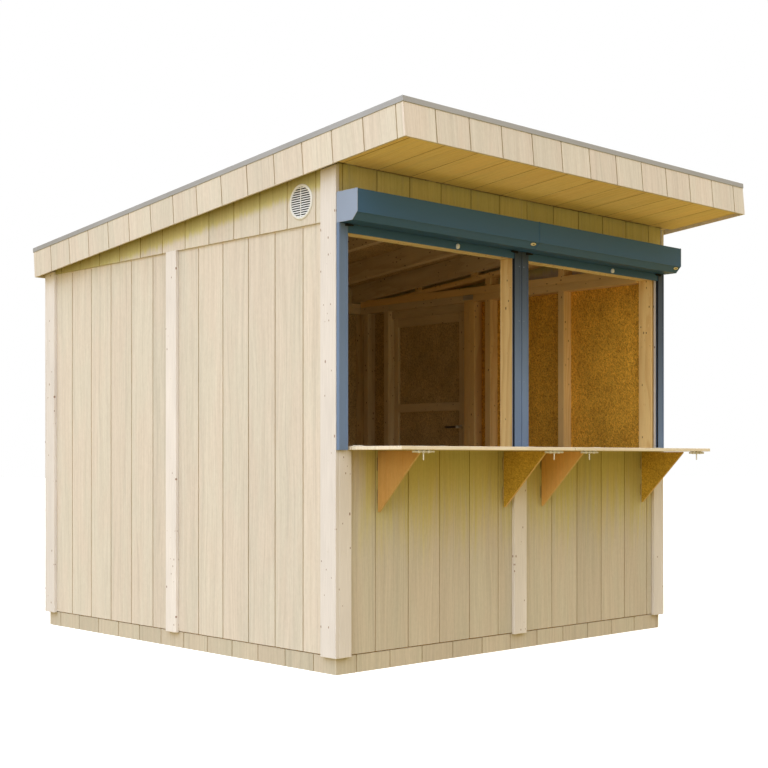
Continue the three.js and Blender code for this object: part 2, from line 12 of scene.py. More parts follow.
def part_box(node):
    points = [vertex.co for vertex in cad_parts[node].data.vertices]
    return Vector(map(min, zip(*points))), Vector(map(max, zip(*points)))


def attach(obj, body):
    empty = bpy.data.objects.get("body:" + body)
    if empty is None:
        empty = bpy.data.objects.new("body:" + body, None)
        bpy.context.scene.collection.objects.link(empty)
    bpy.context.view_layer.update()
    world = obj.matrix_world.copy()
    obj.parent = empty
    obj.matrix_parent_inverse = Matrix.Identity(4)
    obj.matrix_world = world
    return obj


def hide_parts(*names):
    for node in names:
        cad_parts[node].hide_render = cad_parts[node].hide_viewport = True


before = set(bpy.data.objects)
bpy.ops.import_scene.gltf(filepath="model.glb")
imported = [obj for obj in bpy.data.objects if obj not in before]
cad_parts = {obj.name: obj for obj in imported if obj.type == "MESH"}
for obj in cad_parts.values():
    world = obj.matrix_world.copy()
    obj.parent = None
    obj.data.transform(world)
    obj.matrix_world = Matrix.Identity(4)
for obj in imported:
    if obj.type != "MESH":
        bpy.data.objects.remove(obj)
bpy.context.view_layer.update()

MM = 0.001
ORIGIN = Vector((*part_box("corner_board_front_left")[0].xy, 0))
rng = random.Random(11)


def spans(node):
    """A CAD node's [low, high] along X, Y and Z, in kiosk millimetres."""
    low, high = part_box(node)
    return [[(corner[i] - ORIGIN[i]) / MM for corner in (low, high)] for i in range(3)]


def middle(span):
    return (span[0] + span[1]) / 2


def about(place, half):
    return [place - half, place + half]


def within(span, margin):
    return [span[0] + margin, span[1] - margin]


def ends(span, size):
    return [span[0], span[0] + size], [span[1] - size, span[1]]


# ---- driving dimensions, read from the frame where it holds them
WIDTH = spans("corner_board_front_right")[0][1]
DEPTH = spans("corner_board_back_left")[1][1]
CORNER = spans("corner_board_front_left")
PLINTH = spans("plinth")
GUIDE = spans("shutter_guide_left")
FLOOR = spans("floor")
SILL = spans("sill_board")
LEAF = spans("counter_leaf_left")
DOOR = spans("side_door")
HEADER = spans("door_header")
POST = spans("front_post_middle")
LEFT_WALL = spans("left_wall")
STRIP = spans("left_upper_wall")

GAP = 0.3
TRIM = 18                      # thickness of battens and corner boards
TRIM_WIDTH = 92
SIDE_BOARD = TRIM + 2          # thickness of the front corner boards that lie on the side walls
FACE = LEFT_WALL[0][0]         # wall face, back from the trim
SIDING = 6.5                   # thickness of the siding alone
SKIN = 10                      # siding with its strand-board back
STRIP_FACE = STRIP[0][0]
FRAME_OUT = FACE + SKIN
SIDE_IN = LEFT_WALL[0][1]      # inner face of the side framing
FRONT_IN = POST[1][1]
STUD = 45
STUD_EDGE = 2                  # how far the edges of the framing timber are planed off
PLATE_BOTTOM = FLOOR[2][1] + GAP
LINTEL = HEADER[2][1] - STUD
OPENING_TOP = LINTEL + 11      # head of the serving openings
RAIL_TOP = HEADER[2][1]
STRIP_BOTTOM = STRIP[2][0] + 8
WALL_BOTTOM = LEFT_WALL[2][0]
SILL_WALL_TOP = SILL[2][0] - GAP
DOORWAY = within(HEADER[1], -GAP)
DOOR_HEAD = HEADER[2][0]
FRAME_X = within([0, WIDTH], 30)  # reach of the front and back framing
END_POSTS = [FRAME_X[0], FRAME_X[1] - STUD]
BAYS_X = within(FRAME_X, STUD)
MID_STUDS = [607, WIDTH - 607 - STUD]
SHORT_STUDS = [622, 1749]      # over the serving openings
SIDE_STUDS = [645, 1239, 1850]
LAST_STUD = 2379
HEAD_PLATE = 2190              # underside of the plate that the rafters rest on at the front

ROOF_SLOPE = math.radians(5.2)
ROOF_FRONT = -477
ROOF_HEIGHT = 2427
ROOF_X = [-50, WIDTH + 50]
ROOF_LENGTH = (DEPTH + 41 - ROOF_FRONT) / math.cos(ROOF_SLOPE)
RAFTER = [-141.6, -21.6]       # underside and top, square to the slope from the roof's top
PANEL = 10                     # thickness of the fascias and the plinth
ROOF_FRAME_X = within(ROOF_X, PANEL + GAP)
ROOF_FRAME_Y = within([0, ROOF_LENGTH], PANEL + GAP)
ROOF = Matrix.Translation((0, ROOF_FRONT, ROOF_HEIGHT)) @ Matrix.Rotation(-ROOF_SLOPE, 4, "X")


def roof_line(y, below):
    """Height over the ground at y of the plane `below` the roof's top, square to the slope."""
    return ROOF_HEIGHT - (y - ROOF_FRONT) * math.tan(ROOF_SLOPE) - below / math.cos(ROOF_SLOPE)


def under_rafters(y, gap=0.6):
    """Height over the ground at y of a plane that stays this far under the rafters."""
    return roof_line(y, gap - RAFTER[0])


def mirror(span):
    return [WIDTH - span[1], WIDTH - span[0]]


# ---- camera, floor and light
LEFT_SKY = (2.22, 2.39, 2.72, 1)
RIGHT_SKY = (1.54, 1.46, 1.37, 1)
SKY_TURN = (-0.7, 0.2)         # X of the directions between which the left tint turns to the right one
SKY_HIGH = 0.75                # Z of the directions from which the sky has its full brightness
GROUND_GLOW = (0.56, 0.41, 0.13, 1)
STUDIO_RADIUS = 58


def add_object(name, data):
    obj = bpy.data.objects.new(name, data)
    bpy.context.scene.collection.objects.link(obj)
    return obj


def build_stage():
    camera = bpy.data.cameras.new("camera")
    camera.lens = 62.56
    camera.sensor_width = 36
    camera.shift_x = -0.0568
    camera.shift_y = 0.0962
    camera.clip_end = 200
    view = add_object("camera", camera)
    view.location = (-4.984, -5.4779, 0.9511)
    view.rotation_euler = (math.radians(90), 0, math.radians(-44.412))
    bpy.context.scene.camera = view

    bpy.ops.mesh.primitive_grid_add(x_subdivisions=2, y_subdivisions=2, size=110)
    floor = bpy.context.object
    floor.name = "studio_floor"
    floor.data.materials.append(stage_material("studio_floor", (0.9, 0.9, 0.9), 0.6))
    floor.visible_diffuse = False
    floor.visible_glossy = False
    bpy.ops.mesh.primitive_uv_sphere_add(segments=48, ring_count=24, radius=STUDIO_RADIUS)
    backdrop = bpy.context.object
    backdrop.name = "backdrop"
    backdrop.data.materials.append(stage_material("backdrop", (0.0, 0.0, 0.0), 1.0))
    backdrop.visible_diffuse = False
    backdrop.visible_glossy = False
    backdrop.visible_transmission = False
    backdrop.visible_shadow = False
    build_sky()
    soft_box("key_light", (-10, -3.8, 2.4), (1.2, -0.3, 1.3), (5, 5), 238, (1, 0.97, 0.94))
    soft_box("room_light", (0, -0.915, 1.47), (0, 1, 1.4), (2.1, 0.85), 0.7, (1, 0.97, 0.94))
    bpy.context.scene.view_settings.view_transform = "Standard"


def stage_material(name, color, glow):
    material = bpy.data.materials.new(name)
    material.use_nodes = True
    inputs = material.node_tree.nodes["Principled BSDF"].inputs
    for key, value in (("Base Color", (*color, 1)), ("Roughness", 0.9), ("Specular IOR Level", 0.0),
                       ("Emission Color", (1, 1, 1, 1)), ("Emission Strength", glow)):
        inputs[key].default_value = value
    return material


def soft_box(name, place, target, size, power, color):
    light = bpy.data.lights.new(name, "AREA")
    light.shape = "RECTANGLE"
    light.size, light.size_y = size
    light.energy = power
    light.color = color
    lamp = add_object(name, light)
    lamp.visible_camera = False
    lamp.location = place
    lamp.rotation_euler = (Vector(target) - Vector(place)).to_track_quat("-Z", "Y").to_euler()


def build_sky():
    """Soft light from all round: bright from above, whiter on the left than on the right, with
    a dim warm glow from the ground."""
    world = bpy.data.worlds.new("studio")
    world.use_nodes = True
    nodes = Nodes(world.node_tree)
    x, _, z = nodes.parts(nodes.add("TexCoord").outputs["Generated"])
    sky = nodes.mix(nodes.ramp(x, *SKY_TURN), LEFT_SKY, RIGHT_SKY)
    color = nodes.mix(nodes.ramp(z, 0.0, SKY_HIGH), GROUND_GLOW, sky)
    nodes.put(nodes.tree.nodes["Background"].inputs["Color"], color)
    bpy.context.scene.world = world


# ---- materials
class Nodes:
    """A node tree under construction."""

    def __init__(self, tree):
        self.tree = tree

    def add(self, kind, settings=None, inputs=None):
        node = self.tree.nodes.new("ShaderNode" + kind)
        for key, value in (settings or {}).items():
            setattr(node, key, value)
        for key, value in (inputs or {}).items():
            self.put(node.inputs[key], value)
        return node

    def put(self, socket, value):
        if isinstance(value, bpy.types.NodeSocket):
            self.tree.links.new(value, socket)
        else:
            socket.default_value = value

    def attribute(self, name, output="Fac"):
        return self.add("Attribute", {"attribute_name": name}).outputs[output]

    def math(self, operation, a, b=0.0, c=0.0):
        return self.add("Math", {"operation": operation}, {0: a, 1: b, 2: c}).outputs[0]

    def plus(self, a, b):
        return self.math("ADD", a, b)

    def times(self, a, b):
        return self.math("MULTIPLY", a, b)

    def vector(self, x, y, z=0.0):
        return self.add("CombineXYZ", None, {0: x, 1: y, 2: z}).outputs[0]

    def parts(self, vector, kind="XYZ"):
        return self.add("Separate" + kind, None, {0: vector}).outputs

    def scaled(self, vector, scale):
        return self.add("VectorMath", {"operation": "MULTIPLY"}, {0: vector, 1: scale}).outputs[0]

    def moved(self, vector, shift):
        return self.add("VectorMath", {"operation": "ADD"}, {0: vector, 1: shift}).outputs[0]

    def noise(self, vector, scale, detail=3, roughness=0.5):
        """Noise with this many features to a metre, or to a metre along each axis."""
        if isinstance(scale, tuple):
            vector, scale = self.scaled(vector, scale), 1.0
        inputs = {"Vector": vector, "Scale": scale, "Detail": detail, "Roughness": roughness}
        return self.add("TexNoise", None, inputs).outputs["Fac"]

    def cells(self, vector):
        return self.add("TexVoronoi", None, {"Vector": vector}).outputs

    def ramp(self, value, low, high, out_low=0.0, out_high=1.0, smooth=True):
        kind = "SMOOTHSTEP" if smooth else "LINEAR"
        inputs = {0: value, 1: low, 2: high, 3: out_low, 4: out_high}
        return self.add("MapRange", {"interpolation_type": kind}, inputs).outputs[0]

    def mix(self, factor, a, b, blend="MIX"):
        settings = {"data_type": "RGBA", "blend_type": blend}
        return self.add("Mix", settings, {0: factor, 6: a, 7: b}).outputs[2]

    def shade(self, color, factor):
        """The colour times a brightness factor."""
        grey = self.add("CombineColor", None, {0: factor, 1: factor, 2: factor}).outputs[0]
        return self.mix(1.0, color, grey, "MULTIPLY")

    def vary(self, color, *rules):
        """The colour times a brightness factor for each rule: the factor's source, the two
        values of the source between which it changes, and the factor at either."""
        for rule in rules:
            color = self.shade(color, self.ramp(*rule, smooth=False))
        return color


class Look(Nodes):
    """A node material under construction. Textures read the `grain` attribute, whose x runs
    along the board in metres, and the `tone` attribute, one random number for each board."""

    def __init__(self, name, roughness=0.7, metallic=0.0, specular=0.5):
        self.material = bpy.data.materials.new(name)
        self.material.use_nodes = True
        super().__init__(self.material.node_tree)
        self.shader = self.tree.nodes["Principled BSDF"].inputs
        self.shader["Metallic"].default_value = metallic
        self.shader["Roughness"].default_value = roughness
        self.shader["Specular IOR Level"].default_value = specular
        self.grain = self.attribute("grain", "Vector")
        self.tone = self.attribute("tone")

    def bump(self, height, strength, distance):
        inputs = {"Height": height, "Strength": strength, "Distance": distance}
        self.put(self.shader["Normal"], self.add("Bump", None, inputs).outputs[0])

    def finish(self, color, roughness=None):
        self.put(self.shader["Base Color"], color)
        if roughness is not None:
            self.put(self.shader["Roughness"], roughness)
        return self.material


def rgb(red, green, blue):
    return (red, green, blue, 1.0)


def siding_look(name, pale, dark, relief=0.35, shadow=(1.2, 2.0, 0.72)):
    """Engineered wood with a pressed grain, each strip between grooves a little different. A per-point
    attribute paints shade into the colour of sheltered parts: a warm golden tint with a ragged edge,
    and `shadow` tells between which two values of it the tone darkens, and to what share."""
    look = Look(name, specular=0.3)
    place = look.moved(look.grain, look.vector(look.times(look.tone, 17.3), look.times(look.tone, 5.1)))
    waves = look.noise(place, (1.5, 9, 9), 2)
    bent = look.moved(place, look.vector(0.0, look.times(waves, 0.07)))
    lines = look.noise(bent, (2.0, 120, 40), 4, 0.6)
    pores = look.noise(bent, (14.0, 620, 90), 2, 0.5)
    streaks = look.noise(bent, (0.6, 34, 34), 3, 0.55)
    figure = look.noise(bent, (3.5, 65, 65), 3, 0.6)
    flecks = look.noise(bent, (45, 90, 90), 2, 0.6)
    patches = look.noise(place, (2.2, 7, 7), 3)
    depth = look.plus(look.times(lines, 0.7), look.times(pores, 0.3))
    color = look.mix(look.ramp(depth, 0.32, 0.64), dark, pale)
    color = look.shade(color, look.ramp(streaks, 0.3, 0.48, 0.93, 1.0))
    color = look.vary(color, (figure, 0.32, 0.62, 0.96, 1.02), (flecks, 0.3, 0.7, 0.965, 1.03))
    tinge = look.mix(look.ramp(patches, 0.35, 0.65), rgb(1.03, 0.97, 0.93), rgb(0.97, 1.01, 0.97))
    color = look.mix(0.4, color, tinge, "MULTIPLY")
    color = look.vary(color, (look.tone, 0, 1, 0.94, 1.04))
    # painted shade: the golden tint of wood in warm shade, then a darker tone where the attribute is high
    painted_shade = look.attribute("painted_shade")
    edge = look.math("SUBTRACT", painted_shade, 0.7)
    ragged = look.math("MULTIPLY_ADD", look.plus(streaks, figure), 0.7, edge)
    warm_shade_tint = look.mix(1.0, color, rgb(0.97, 0.96, 0.5), "MULTIPLY")
    color = look.mix(look.ramp(ragged, 0.3, 1.0), color, warm_shade_tint)
    color = look.shade(color, look.ramp(painted_shade, shadow[0], shadow[1], 1.0, shadow[2]))
    look.bump(depth, relief, 0.0012)
    return look.finish(color, look.ramp(depth, 0.3, 0.7, 0.72, 0.58))


def timber_look(name, early, late, knot=rgb(0.2, 0.09, 0.04), knots=0.3, contrast=0.55):
    """Softwood with growth rings round a pith beside the board, fine fibres and knots in some of
    the cells that the board is divided into."""
    look = Look(name, specular=0.3)
    warp = look.noise(look.grain, (1.3, 6, 6), 3)
    along, *across = look.parts(look.grain)
    cells = look.cells(look.vector(look.times(along, 5.5), look.times(look.plus(*across), 10.0)))
    chance = look.parts(cells["Color"], "Color")[0]
    there = look.math("GREATER_THAN", chance, 1 - knots)
    radius = look.math("MULTIPLY_ADD", there, look.ramp(chance, 1 - knots, 1.0, 0.16, 0.25, False), -0.06)
    reach = look.math("SUBTRACT", cells["Distance"], radius)
    pull = look.times(look.ramp(reach, 0.0, 0.2, 1.0, 0.0), 0.005)
    centre = look.scaled(look.grain, (0.03, 1, 1))
    pith = look.add("VectorMath", {"operation": "LENGTH"}, {0: centre}).outputs["Value"]
    rings = look.plus(look.plus(pith, look.times(warp, 0.016)), pull)
    phase = look.math("FRACT", look.times(rings, 260))
    late_wood = look.times(look.ramp(phase, 0.25, 0.85), look.ramp(phase, 0.9, 1.0, 1.0, 0.0))
    fibres = look.noise(look.grain, (9, 420, 420), 3)
    patches = look.noise(look.grain, (2.0, 8, 8), 2)
    color = look.mix(look.times(late_wood, contrast), early, late)
    color = look.vary(color, (fibres, 0.3, 0.7, 0.93, 1.05), (patches, 0.3, 0.7, 0.94, 1.05),
                      (look.tone, 0, 1, 0.92, 1.04))
    color = look.mix(look.ramp(reach, -0.03, 0.04, 0.9, 0.0), color, knot)
    relief = look.plus(look.times(fibres, 0.6), look.times(late_wood, -0.25))
    look.bump(relief, 0.3, 0.0006)
    return look.finish(color, look.ramp(fibres, 0.3, 0.7, 0.72, 0.6))


def strand_look(name, pale, dark, contrast=1.0):
    """Pressed strand board: three layers of flakes laid at different angles over each other."""
    look = Look(name, specular=0.3)
    best, tones = None, None
    for angle, seed in ((0.5, 0.0), (-0.45, 3.7), (1.25, 8.1)):
        turned = look.add("VectorRotate", {"rotation_type": "EULER_XYZ"}, {
            "Vector": look.grain, "Rotation": (angle, angle, angle)}).outputs[0]
        cells = look.cells(look.moved(look.scaled(turned, (17, 46, 46)), (seed, seed, seed)))
        height, tone, _ = look.parts(cells["Color"], "Color")
        tone = look.times(tone, look.ramp(cells["Distance"], 0.4, 0.8, 1.0, 0.6))
        if best is None:
            best, tones = height, tone
            continue
        over = look.math("GREATER_THAN", height, best)
        tones = look.add("Mix", None, {0: over, 2: tones, 3: tone}).outputs[0]
        best = look.math("MAXIMUM", height, best)
    fibres = look.noise(look.grain, (50, 105, 105), 3)
    patches = look.noise(look.grain, (6, 9, 9), 3)
    color = look.mix(look.ramp(tones, 0.05, 0.75, smooth=False), dark, pale)
    color = look.vary(color, (fibres, 0.3, 0.7, 1 - 0.14 * contrast, 1 + 0.12 * contrast),
                      (patches, 0.35, 0.65, 0.9, 1.06), (look.tone, 0, 1, 0.95, 1.03))
    look.bump(look.plus(tones, look.times(fibres, 0.3)), 0.35, 0.0012)
    return look.finish(color, look.ramp(tones, 0.0, 1.0, 0.75, 0.5))


def metal_look(name, color, metallic, roughness, speckle=0.04, specular=0.5):
    """Coated or bare sheet metal: a fine orange peel, faint cloudiness and handling marks, and
    a painted shade, a darker tone where the per-point shade attribute is high."""
    look = Look(name, roughness, metallic, specular)
    cloud = look.noise(look.grain, (5, 9, 9), 3)
    peel = look.noise(look.grain, 900.0, 2)
    tinted = look.vary(color, (cloud, 0.3, 0.7, 1 - speckle, 1 + speckle), (peel, 0.3, 0.7, 0.97, 1.03))
    # painted shade: the coat darkens where the per-point attribute is high
    painted_shade = look.attribute("painted_shade")
    tinted = look.shade(tinted, look.ramp(painted_shade, 0.3, 1.05, 1.0, 0.3))
    look.bump(peel, 0.1, 0.0003)
    return look.finish(tinted, look.ramp(cloud, 0.3, 0.7, roughness - 0.05, roughness + 0.07))


def felt_look(name, color):
    """Mineral-surfaced roofing felt: coarse granules and weather streaks down the slope."""
    look = Look(name, 0.95, 0.0, 0.2)
    grit = look.cells(look.scaled(look.grain, (420, 420, 420)))
    streaks = look.noise(look.grain, (0.8, 7, 7), 4)
    tinted = look.vary(color, (grit["Color"], 0, 1, 0.55, 1.5), (streaks, 0.3, 0.7, 0.8, 1.2))
    look.bump(grit["Distance"], 0.7, 0.0015)
    return look.finish(tinted)


def plastic_look(name, color, roughness, specular=0.5):
    """Moulded plastic with a faint texture and a little dust."""
    look = Look(name, roughness, 0.0, specular)
    dust = look.noise(look.grain, (12, 12, 12), 4)
    fine = look.noise(look.grain, 1500.0, 2)
    tinted = look.vary(color, (dust, 0.3, 0.75, 1.02, 0.93))
    look.bump(fine, 0.12, 0.0002)
    return look.finish(tinted, look.ramp(dust, 0.3, 0.7, roughness - 0.05, roughness + 0.1))


LOOKS = {
    "siding": siding_look("siding", rgb(0.69, 0.64, 0.575), rgb(0.61, 0.562, 0.492)),
    # low_siding is a darker copy of the siding for the low front wall and the plinth: painted shade.
    "low_siding": siding_look("low_siding", rgb(0.59, 0.54, 0.455), rgb(0.515, 0.47, 0.385)),
    # front_siding is a paler copy of the siding for the front fascia, which gets the most sky: painted light.
    "front_siding": siding_look("front_siding", rgb(0.75, 0.705, 0.665), rgb(0.67, 0.62, 0.57)),
    # strip_siding paints its darker tone over a wider range of the shade attribute: painted shadow under the
    # fascias.
    "strip_siding": siding_look("strip_siding", rgb(0.69, 0.64, 0.575), rgb(0.61, 0.562, 0.492),
                                shadow=(0.1, 1.6, 0.7)),
    # The groove looks are darker copies of their siding for the faces inside the grooves: painted shade in
    # the recess, with some dirt.
    "groove": siding_look("groove", rgb(0.53, 0.46, 0.345), rgb(0.46, 0.39, 0.275), 0.2),
    # The soffit is the siding in the golden tone it takes in warm shade: painted shade.
    "soffit": siding_look("soffit", rgb(0.97, 0.76, 0.35), rgb(0.86, 0.64, 0.25)),
    "soffit_groove": siding_look("soffit_groove", rgb(0.64, 0.49, 0.22), rgb(0.57, 0.42, 0.18), 0.2),
    "spruce": timber_look("spruce", rgb(0.765, 0.735, 0.725), rgb(0.69, 0.64, 0.595), rgb(0.27, 0.17, 0.13),
                          0.26, 0.4),
    "framing": timber_look("framing", rgb(0.94, 0.69, 0.32), rgb(0.77, 0.48, 0.18)),
    "lintel": timber_look("lintel", rgb(1.0, 0.85, 0.48), rgb(0.97, 0.74, 0.36)),
    # inner_framing and inner_strand_board (below) are less saturated copies of framing and strand board for
    # the shaded inside: painted shade.
    "inner_framing": timber_look("inner_framing", rgb(0.8, 0.67, 0.46), rgb(0.64, 0.49, 0.3)),
    "strands": strand_look("strand_board", rgb(1.0, 0.6, 0.08), rgb(0.5, 0.225, 0.02), 1.3),
    "inner_strands": strand_look("inner_strand_board", rgb(0.72, 0.56, 0.3), rgb(0.42, 0.31, 0.15)),
    "bracket_strands": strand_look("bracket_strands", rgb(0.66, 0.44, 0.06), rgb(0.42, 0.25, 0.025), 0.6),
    "edge": siding_look("board_edge", rgb(0.72, 0.52, 0.26), rgb(0.6, 0.4, 0.18)),
    # The smooth bracket faces are the siding's coat in the orange it takes in warm shade: painted shade.
    # pale_bracket_face, for the two far brackets, is a lighter copy: painted light.
    "bracket": siding_look("bracket_face", rgb(0.55, 0.315, 0.095), rgb(0.515, 0.285, 0.08), 0.15),
    "pale_bracket": siding_look("pale_bracket_face", rgb(0.83, 0.5, 0.175), rgb(0.78, 0.455, 0.15), 0.15),
    "counter": siding_look("counter", rgb(0.8, 0.74, 0.62), rgb(0.72, 0.63, 0.49)),
    "shutter": metal_look("shutter_coat", rgb(0.041, 0.12, 0.25), 0.0, 0.42, specular=0.28),
    "guide": metal_look("guide_coat", rgb(0.145, 0.218, 0.37), 0.0, 0.45, specular=0.28),
    # cap_coat is a paler copy of the box's coat for the outer end caps: painted light from the left; the
    # guide screws use it too.
    "cap": metal_look("cap_coat", rgb(0.265, 0.335, 0.48), 0.0, 0.45, specular=0.3),
    "zinc": metal_look("zinc_plate", rgb(0.66, 0.65, 0.6), 0.6, 0.38, 0.08),
    "hinge": metal_look("hinge_plate", rgb(0.48, 0.38, 0.18), 0.3, 0.5, 0.08),
    "brass": metal_look("lock_plate", rgb(0.72, 0.66, 0.5), 0.7, 0.35, 0.08),
    "dark_steel": metal_look("dark_steel", rgb(0.11, 0.09, 0.075), 0.5, 0.45, 0.06),
    "drip": metal_look("drip_metal", rgb(0.385, 0.4, 0.435), 0.4, 0.5, 0.06),
    "felt": felt_look("roofing_felt", rgb(0.11, 0.11, 0.115)),
    "bitumen": plastic_look("bitumen", rgb(0.025, 0.025, 0.027), 0.35),
    "plastic": plastic_look("white_plastic", rgb(0.745, 0.765, 0.765), 0.42),
    "rubber": plastic_look("black_rubber", rgb(0.014, 0.014, 0.016), 0.8, 0.15),
}
GROOVES = {"siding": "groove", "front_siding": "groove", "strip_siding": "groove", "low_siding": "groove",
           "soffit": "soffit_groove"}


# ---- shapes
class Shape:
    """Points and faces of one piece, in kiosk millimetres, gathered board by board. Its boards
    are given in the coordinates of `place`, and `edge` is how far their edges are planed off."""

    def __init__(self, look, place=None, edge=1.5):
        self.place = place
        self.edge = edge
        self.looks = [look]
        self.points = []
        self.faces = []
        self.grain = []
        self.painted_shade = []
        self.tone = []
        self.face_look = []

    def look_number(self, look):
        if look not in self.looks:
            self.looks.append(look)
        return self.looks.index(look)

    def absorb(self, bm, along="z", place=None, look=None, tones=None, looks=None, painted_shade=None):
        """Takes over a bmesh whose boards run along one of its axes; frees it. `tones` and
        `looks` give a value for each face, and the painted-shade values one for each point."""
        shift = Vector((rng.uniform(0, 9), rng.uniform(0.03, 0.12), rng.uniform(0.02, 0.1)))
        tone = rng.random()
        axis = "xyz".index(along)
        base = len(self.points)
        bm.verts.index_update()
        for vert in bm.verts:
            turned = Vector((vert.co[axis], vert.co[(axis + 1) % 3], vert.co[(axis + 2) % 3]))
            self.grain.append(turned * MM + shift)
            self.points.append(place @ vert.co if place else vert.co.copy())
        self.painted_shade += painted_shade or [0.0] * len(bm.verts)
        for number, face in enumerate(bm.faces):
            self.faces.append([base + vert.index for vert in face.verts])
            self.tone.append(tones[number] if tones else tone)
            own = looks[number] if looks else look
            self.face_look.append(self.look_number(own) if own else 0)
        bm.free()

    def board(self, x, y, z, along="z", bevel=None, look=None):
        """A board between two corners, its edges planed off."""
        bm = bmesh.new()
        corners = [bm.verts.new((x[i & 1], y[i >> 1 & 1], z[i >> 2])) for i in range(8)]
        for ring in ((0, 2, 3, 1), (4, 5, 7, 6), (0, 1, 5, 4), (2, 6, 7, 3), (0, 4, 6, 2), (1, 3, 7, 5)):
            bm.faces.new([corners[i] for i in ring])
        chamfer(bm, self.edge if bevel is None else bevel)
        self.absorb(bm, along, self.place, look)

    def prism(self, outline, axis, span, along="z", bevel=0.0, look=None, painted_shade=None):
        """An outline in the plane square to `axis`, pushed along it. Outline points run over
        the two other axes in cyclic order: (y, z) for x, (z, x) for y and (x, y) for z.
        The painted-shade values are given at both ends of an outline without a bevel."""
        bm = bmesh.new()
        k = "xyz".index(axis)
        rows = []
        for level in span:
            row = []
            for u, v in outline:
                point = [0, 0, 0]
                point[k], point[(k + 1) % 3], point[(k + 2) % 3] = level, u, v
                row.append(bm.verts.new(point))
            rows.append(row)
        low, high = rows
        bm.faces.new(low[::-1])
        bm.faces.new(high)
        join_rings(bm, low, high)
        bmesh.ops.recalc_face_normals(bm, faces=bm.faces)
        chamfer(bm, bevel)
        self.absorb(bm, along, self.place, look, painted_shade=[level for level in painted_shade or () for _ in outline])

    def rod(self, start, end, radius, sides=16, bevel=0.0, look=None):
        """A round bar between two points, its rims rounded off."""
        run = Vector(end) - Vector(start)
        rim = min(bevel, radius * 0.9)
        profile = [(radius - rim, 0), (radius, rim), (radius, run.length - rim), (radius - rim, run.length)]
        self.lathe(profile, aimed(start, run), sides, look)

    def lathe(self, profile, place, sides=24, look=None, hollow=False):
        """A turned body round its own Z axis from (radius, height) points. The profile of a
        `hollow` one closes on itself and stays off the axis."""
        bm = bmesh.new()
        turns = [2 * math.pi * i / sides for i in range(sides)]
        rings = [[bm.verts.new((radius * math.cos(turn), radius * math.sin(turn), height)) for turn in turns]
                 for radius, height in profile]
        for lower, upper in zip(rings, rings[1:] + rings[:1] if hollow else rings[1:]):
            join_rings(bm, lower, upper)
        if hollow:
            bmesh.ops.recalc_face_normals(bm, faces=bm.faces)
        else:
            bm.faces.new(rings[0][::-1])
            bm.faces.new(rings[-1])
        self.absorb(bm, "z", place, look)

    def screw(self, place, outward, radius=4.0, look="zinc"):
        """A countersunk screw head, its crossed recess as a small sunk cone."""
        profile = [(radius, -1.0), (radius, 0.25), (radius * 0.75, 0.6), (radius * 0.35, 0.6),
                   (radius * 0.12, -0.4)]
        self.lathe(profile, aimed(place, outward), 12, look)

    def build(self, name, slot, *nodes, body="kiosk"):
        """Makes the piece, which stands for these CAD nodes."""
        mesh = bpy.data.meshes.new(name)
        mesh.from_pydata([ORIGIN + point * MM for point in self.points], [], self.faces)
        grain = [c for vector in self.grain for c in vector]
        # grain and tone for the textures, and the per-point values of painted shade
        for key, kind, domain, field, values in (("grain", "FLOAT_VECTOR", "POINT", "vector", grain),
                                                 ("tone", "FLOAT", "FACE", "value", self.tone),
                                                 ("painted_shade", "FLOAT", "POINT", "value", self.painted_shade)):
            mesh.attributes.new(key, kind, domain).data.foreach_set(field, values)
        for look in self.looks:
            mesh.materials.append(LOOKS[look])
        mesh.polygons.foreach_set("material_index", self.face_look)
        mesh.polygons.foreach_set("use_smooth", [True] * len(self.faces))
        mesh.update()
        mesh.set_sharp_from_angle(angle=math.radians(32))
        obj = add_object(name, mesh)
        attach(obj, body)
        if nodes:
            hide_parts(*nodes)


def chamfer(bm, size):
    if size > 0:
        bmesh.ops.bevel(bm, geom=bm.edges[:], offset=size, segments=1, affect="EDGES")


def join_rings(bm, lower, upper):
    """Faces all round between two closed rows of the same number of points."""
    for i in range(len(lower)):
        j = (i + 1) % len(lower)
        bm.faces.new((lower[i], lower[j], upper[j], upper[i]))


def aimed(place, direction):
    """Axes at `place` whose Z points in `direction`."""
    return Matrix.Translation(place) @ Vector(direction).to_track_quat("Z", "Y").to_matrix().to_4x4()


# ---- siding
GROOVE_STEP = 203.2
GROOVE_WIDTH = 6.5
GROOVE_FLOOR = 5
GROOVE_DEPTH = 4
SIDE_GROOVE = 246.1            # where a groove runs on the side walls and the door, from the front
FRONT_GROOVE = 249.6           # where one runs on the front and back walls, from the left


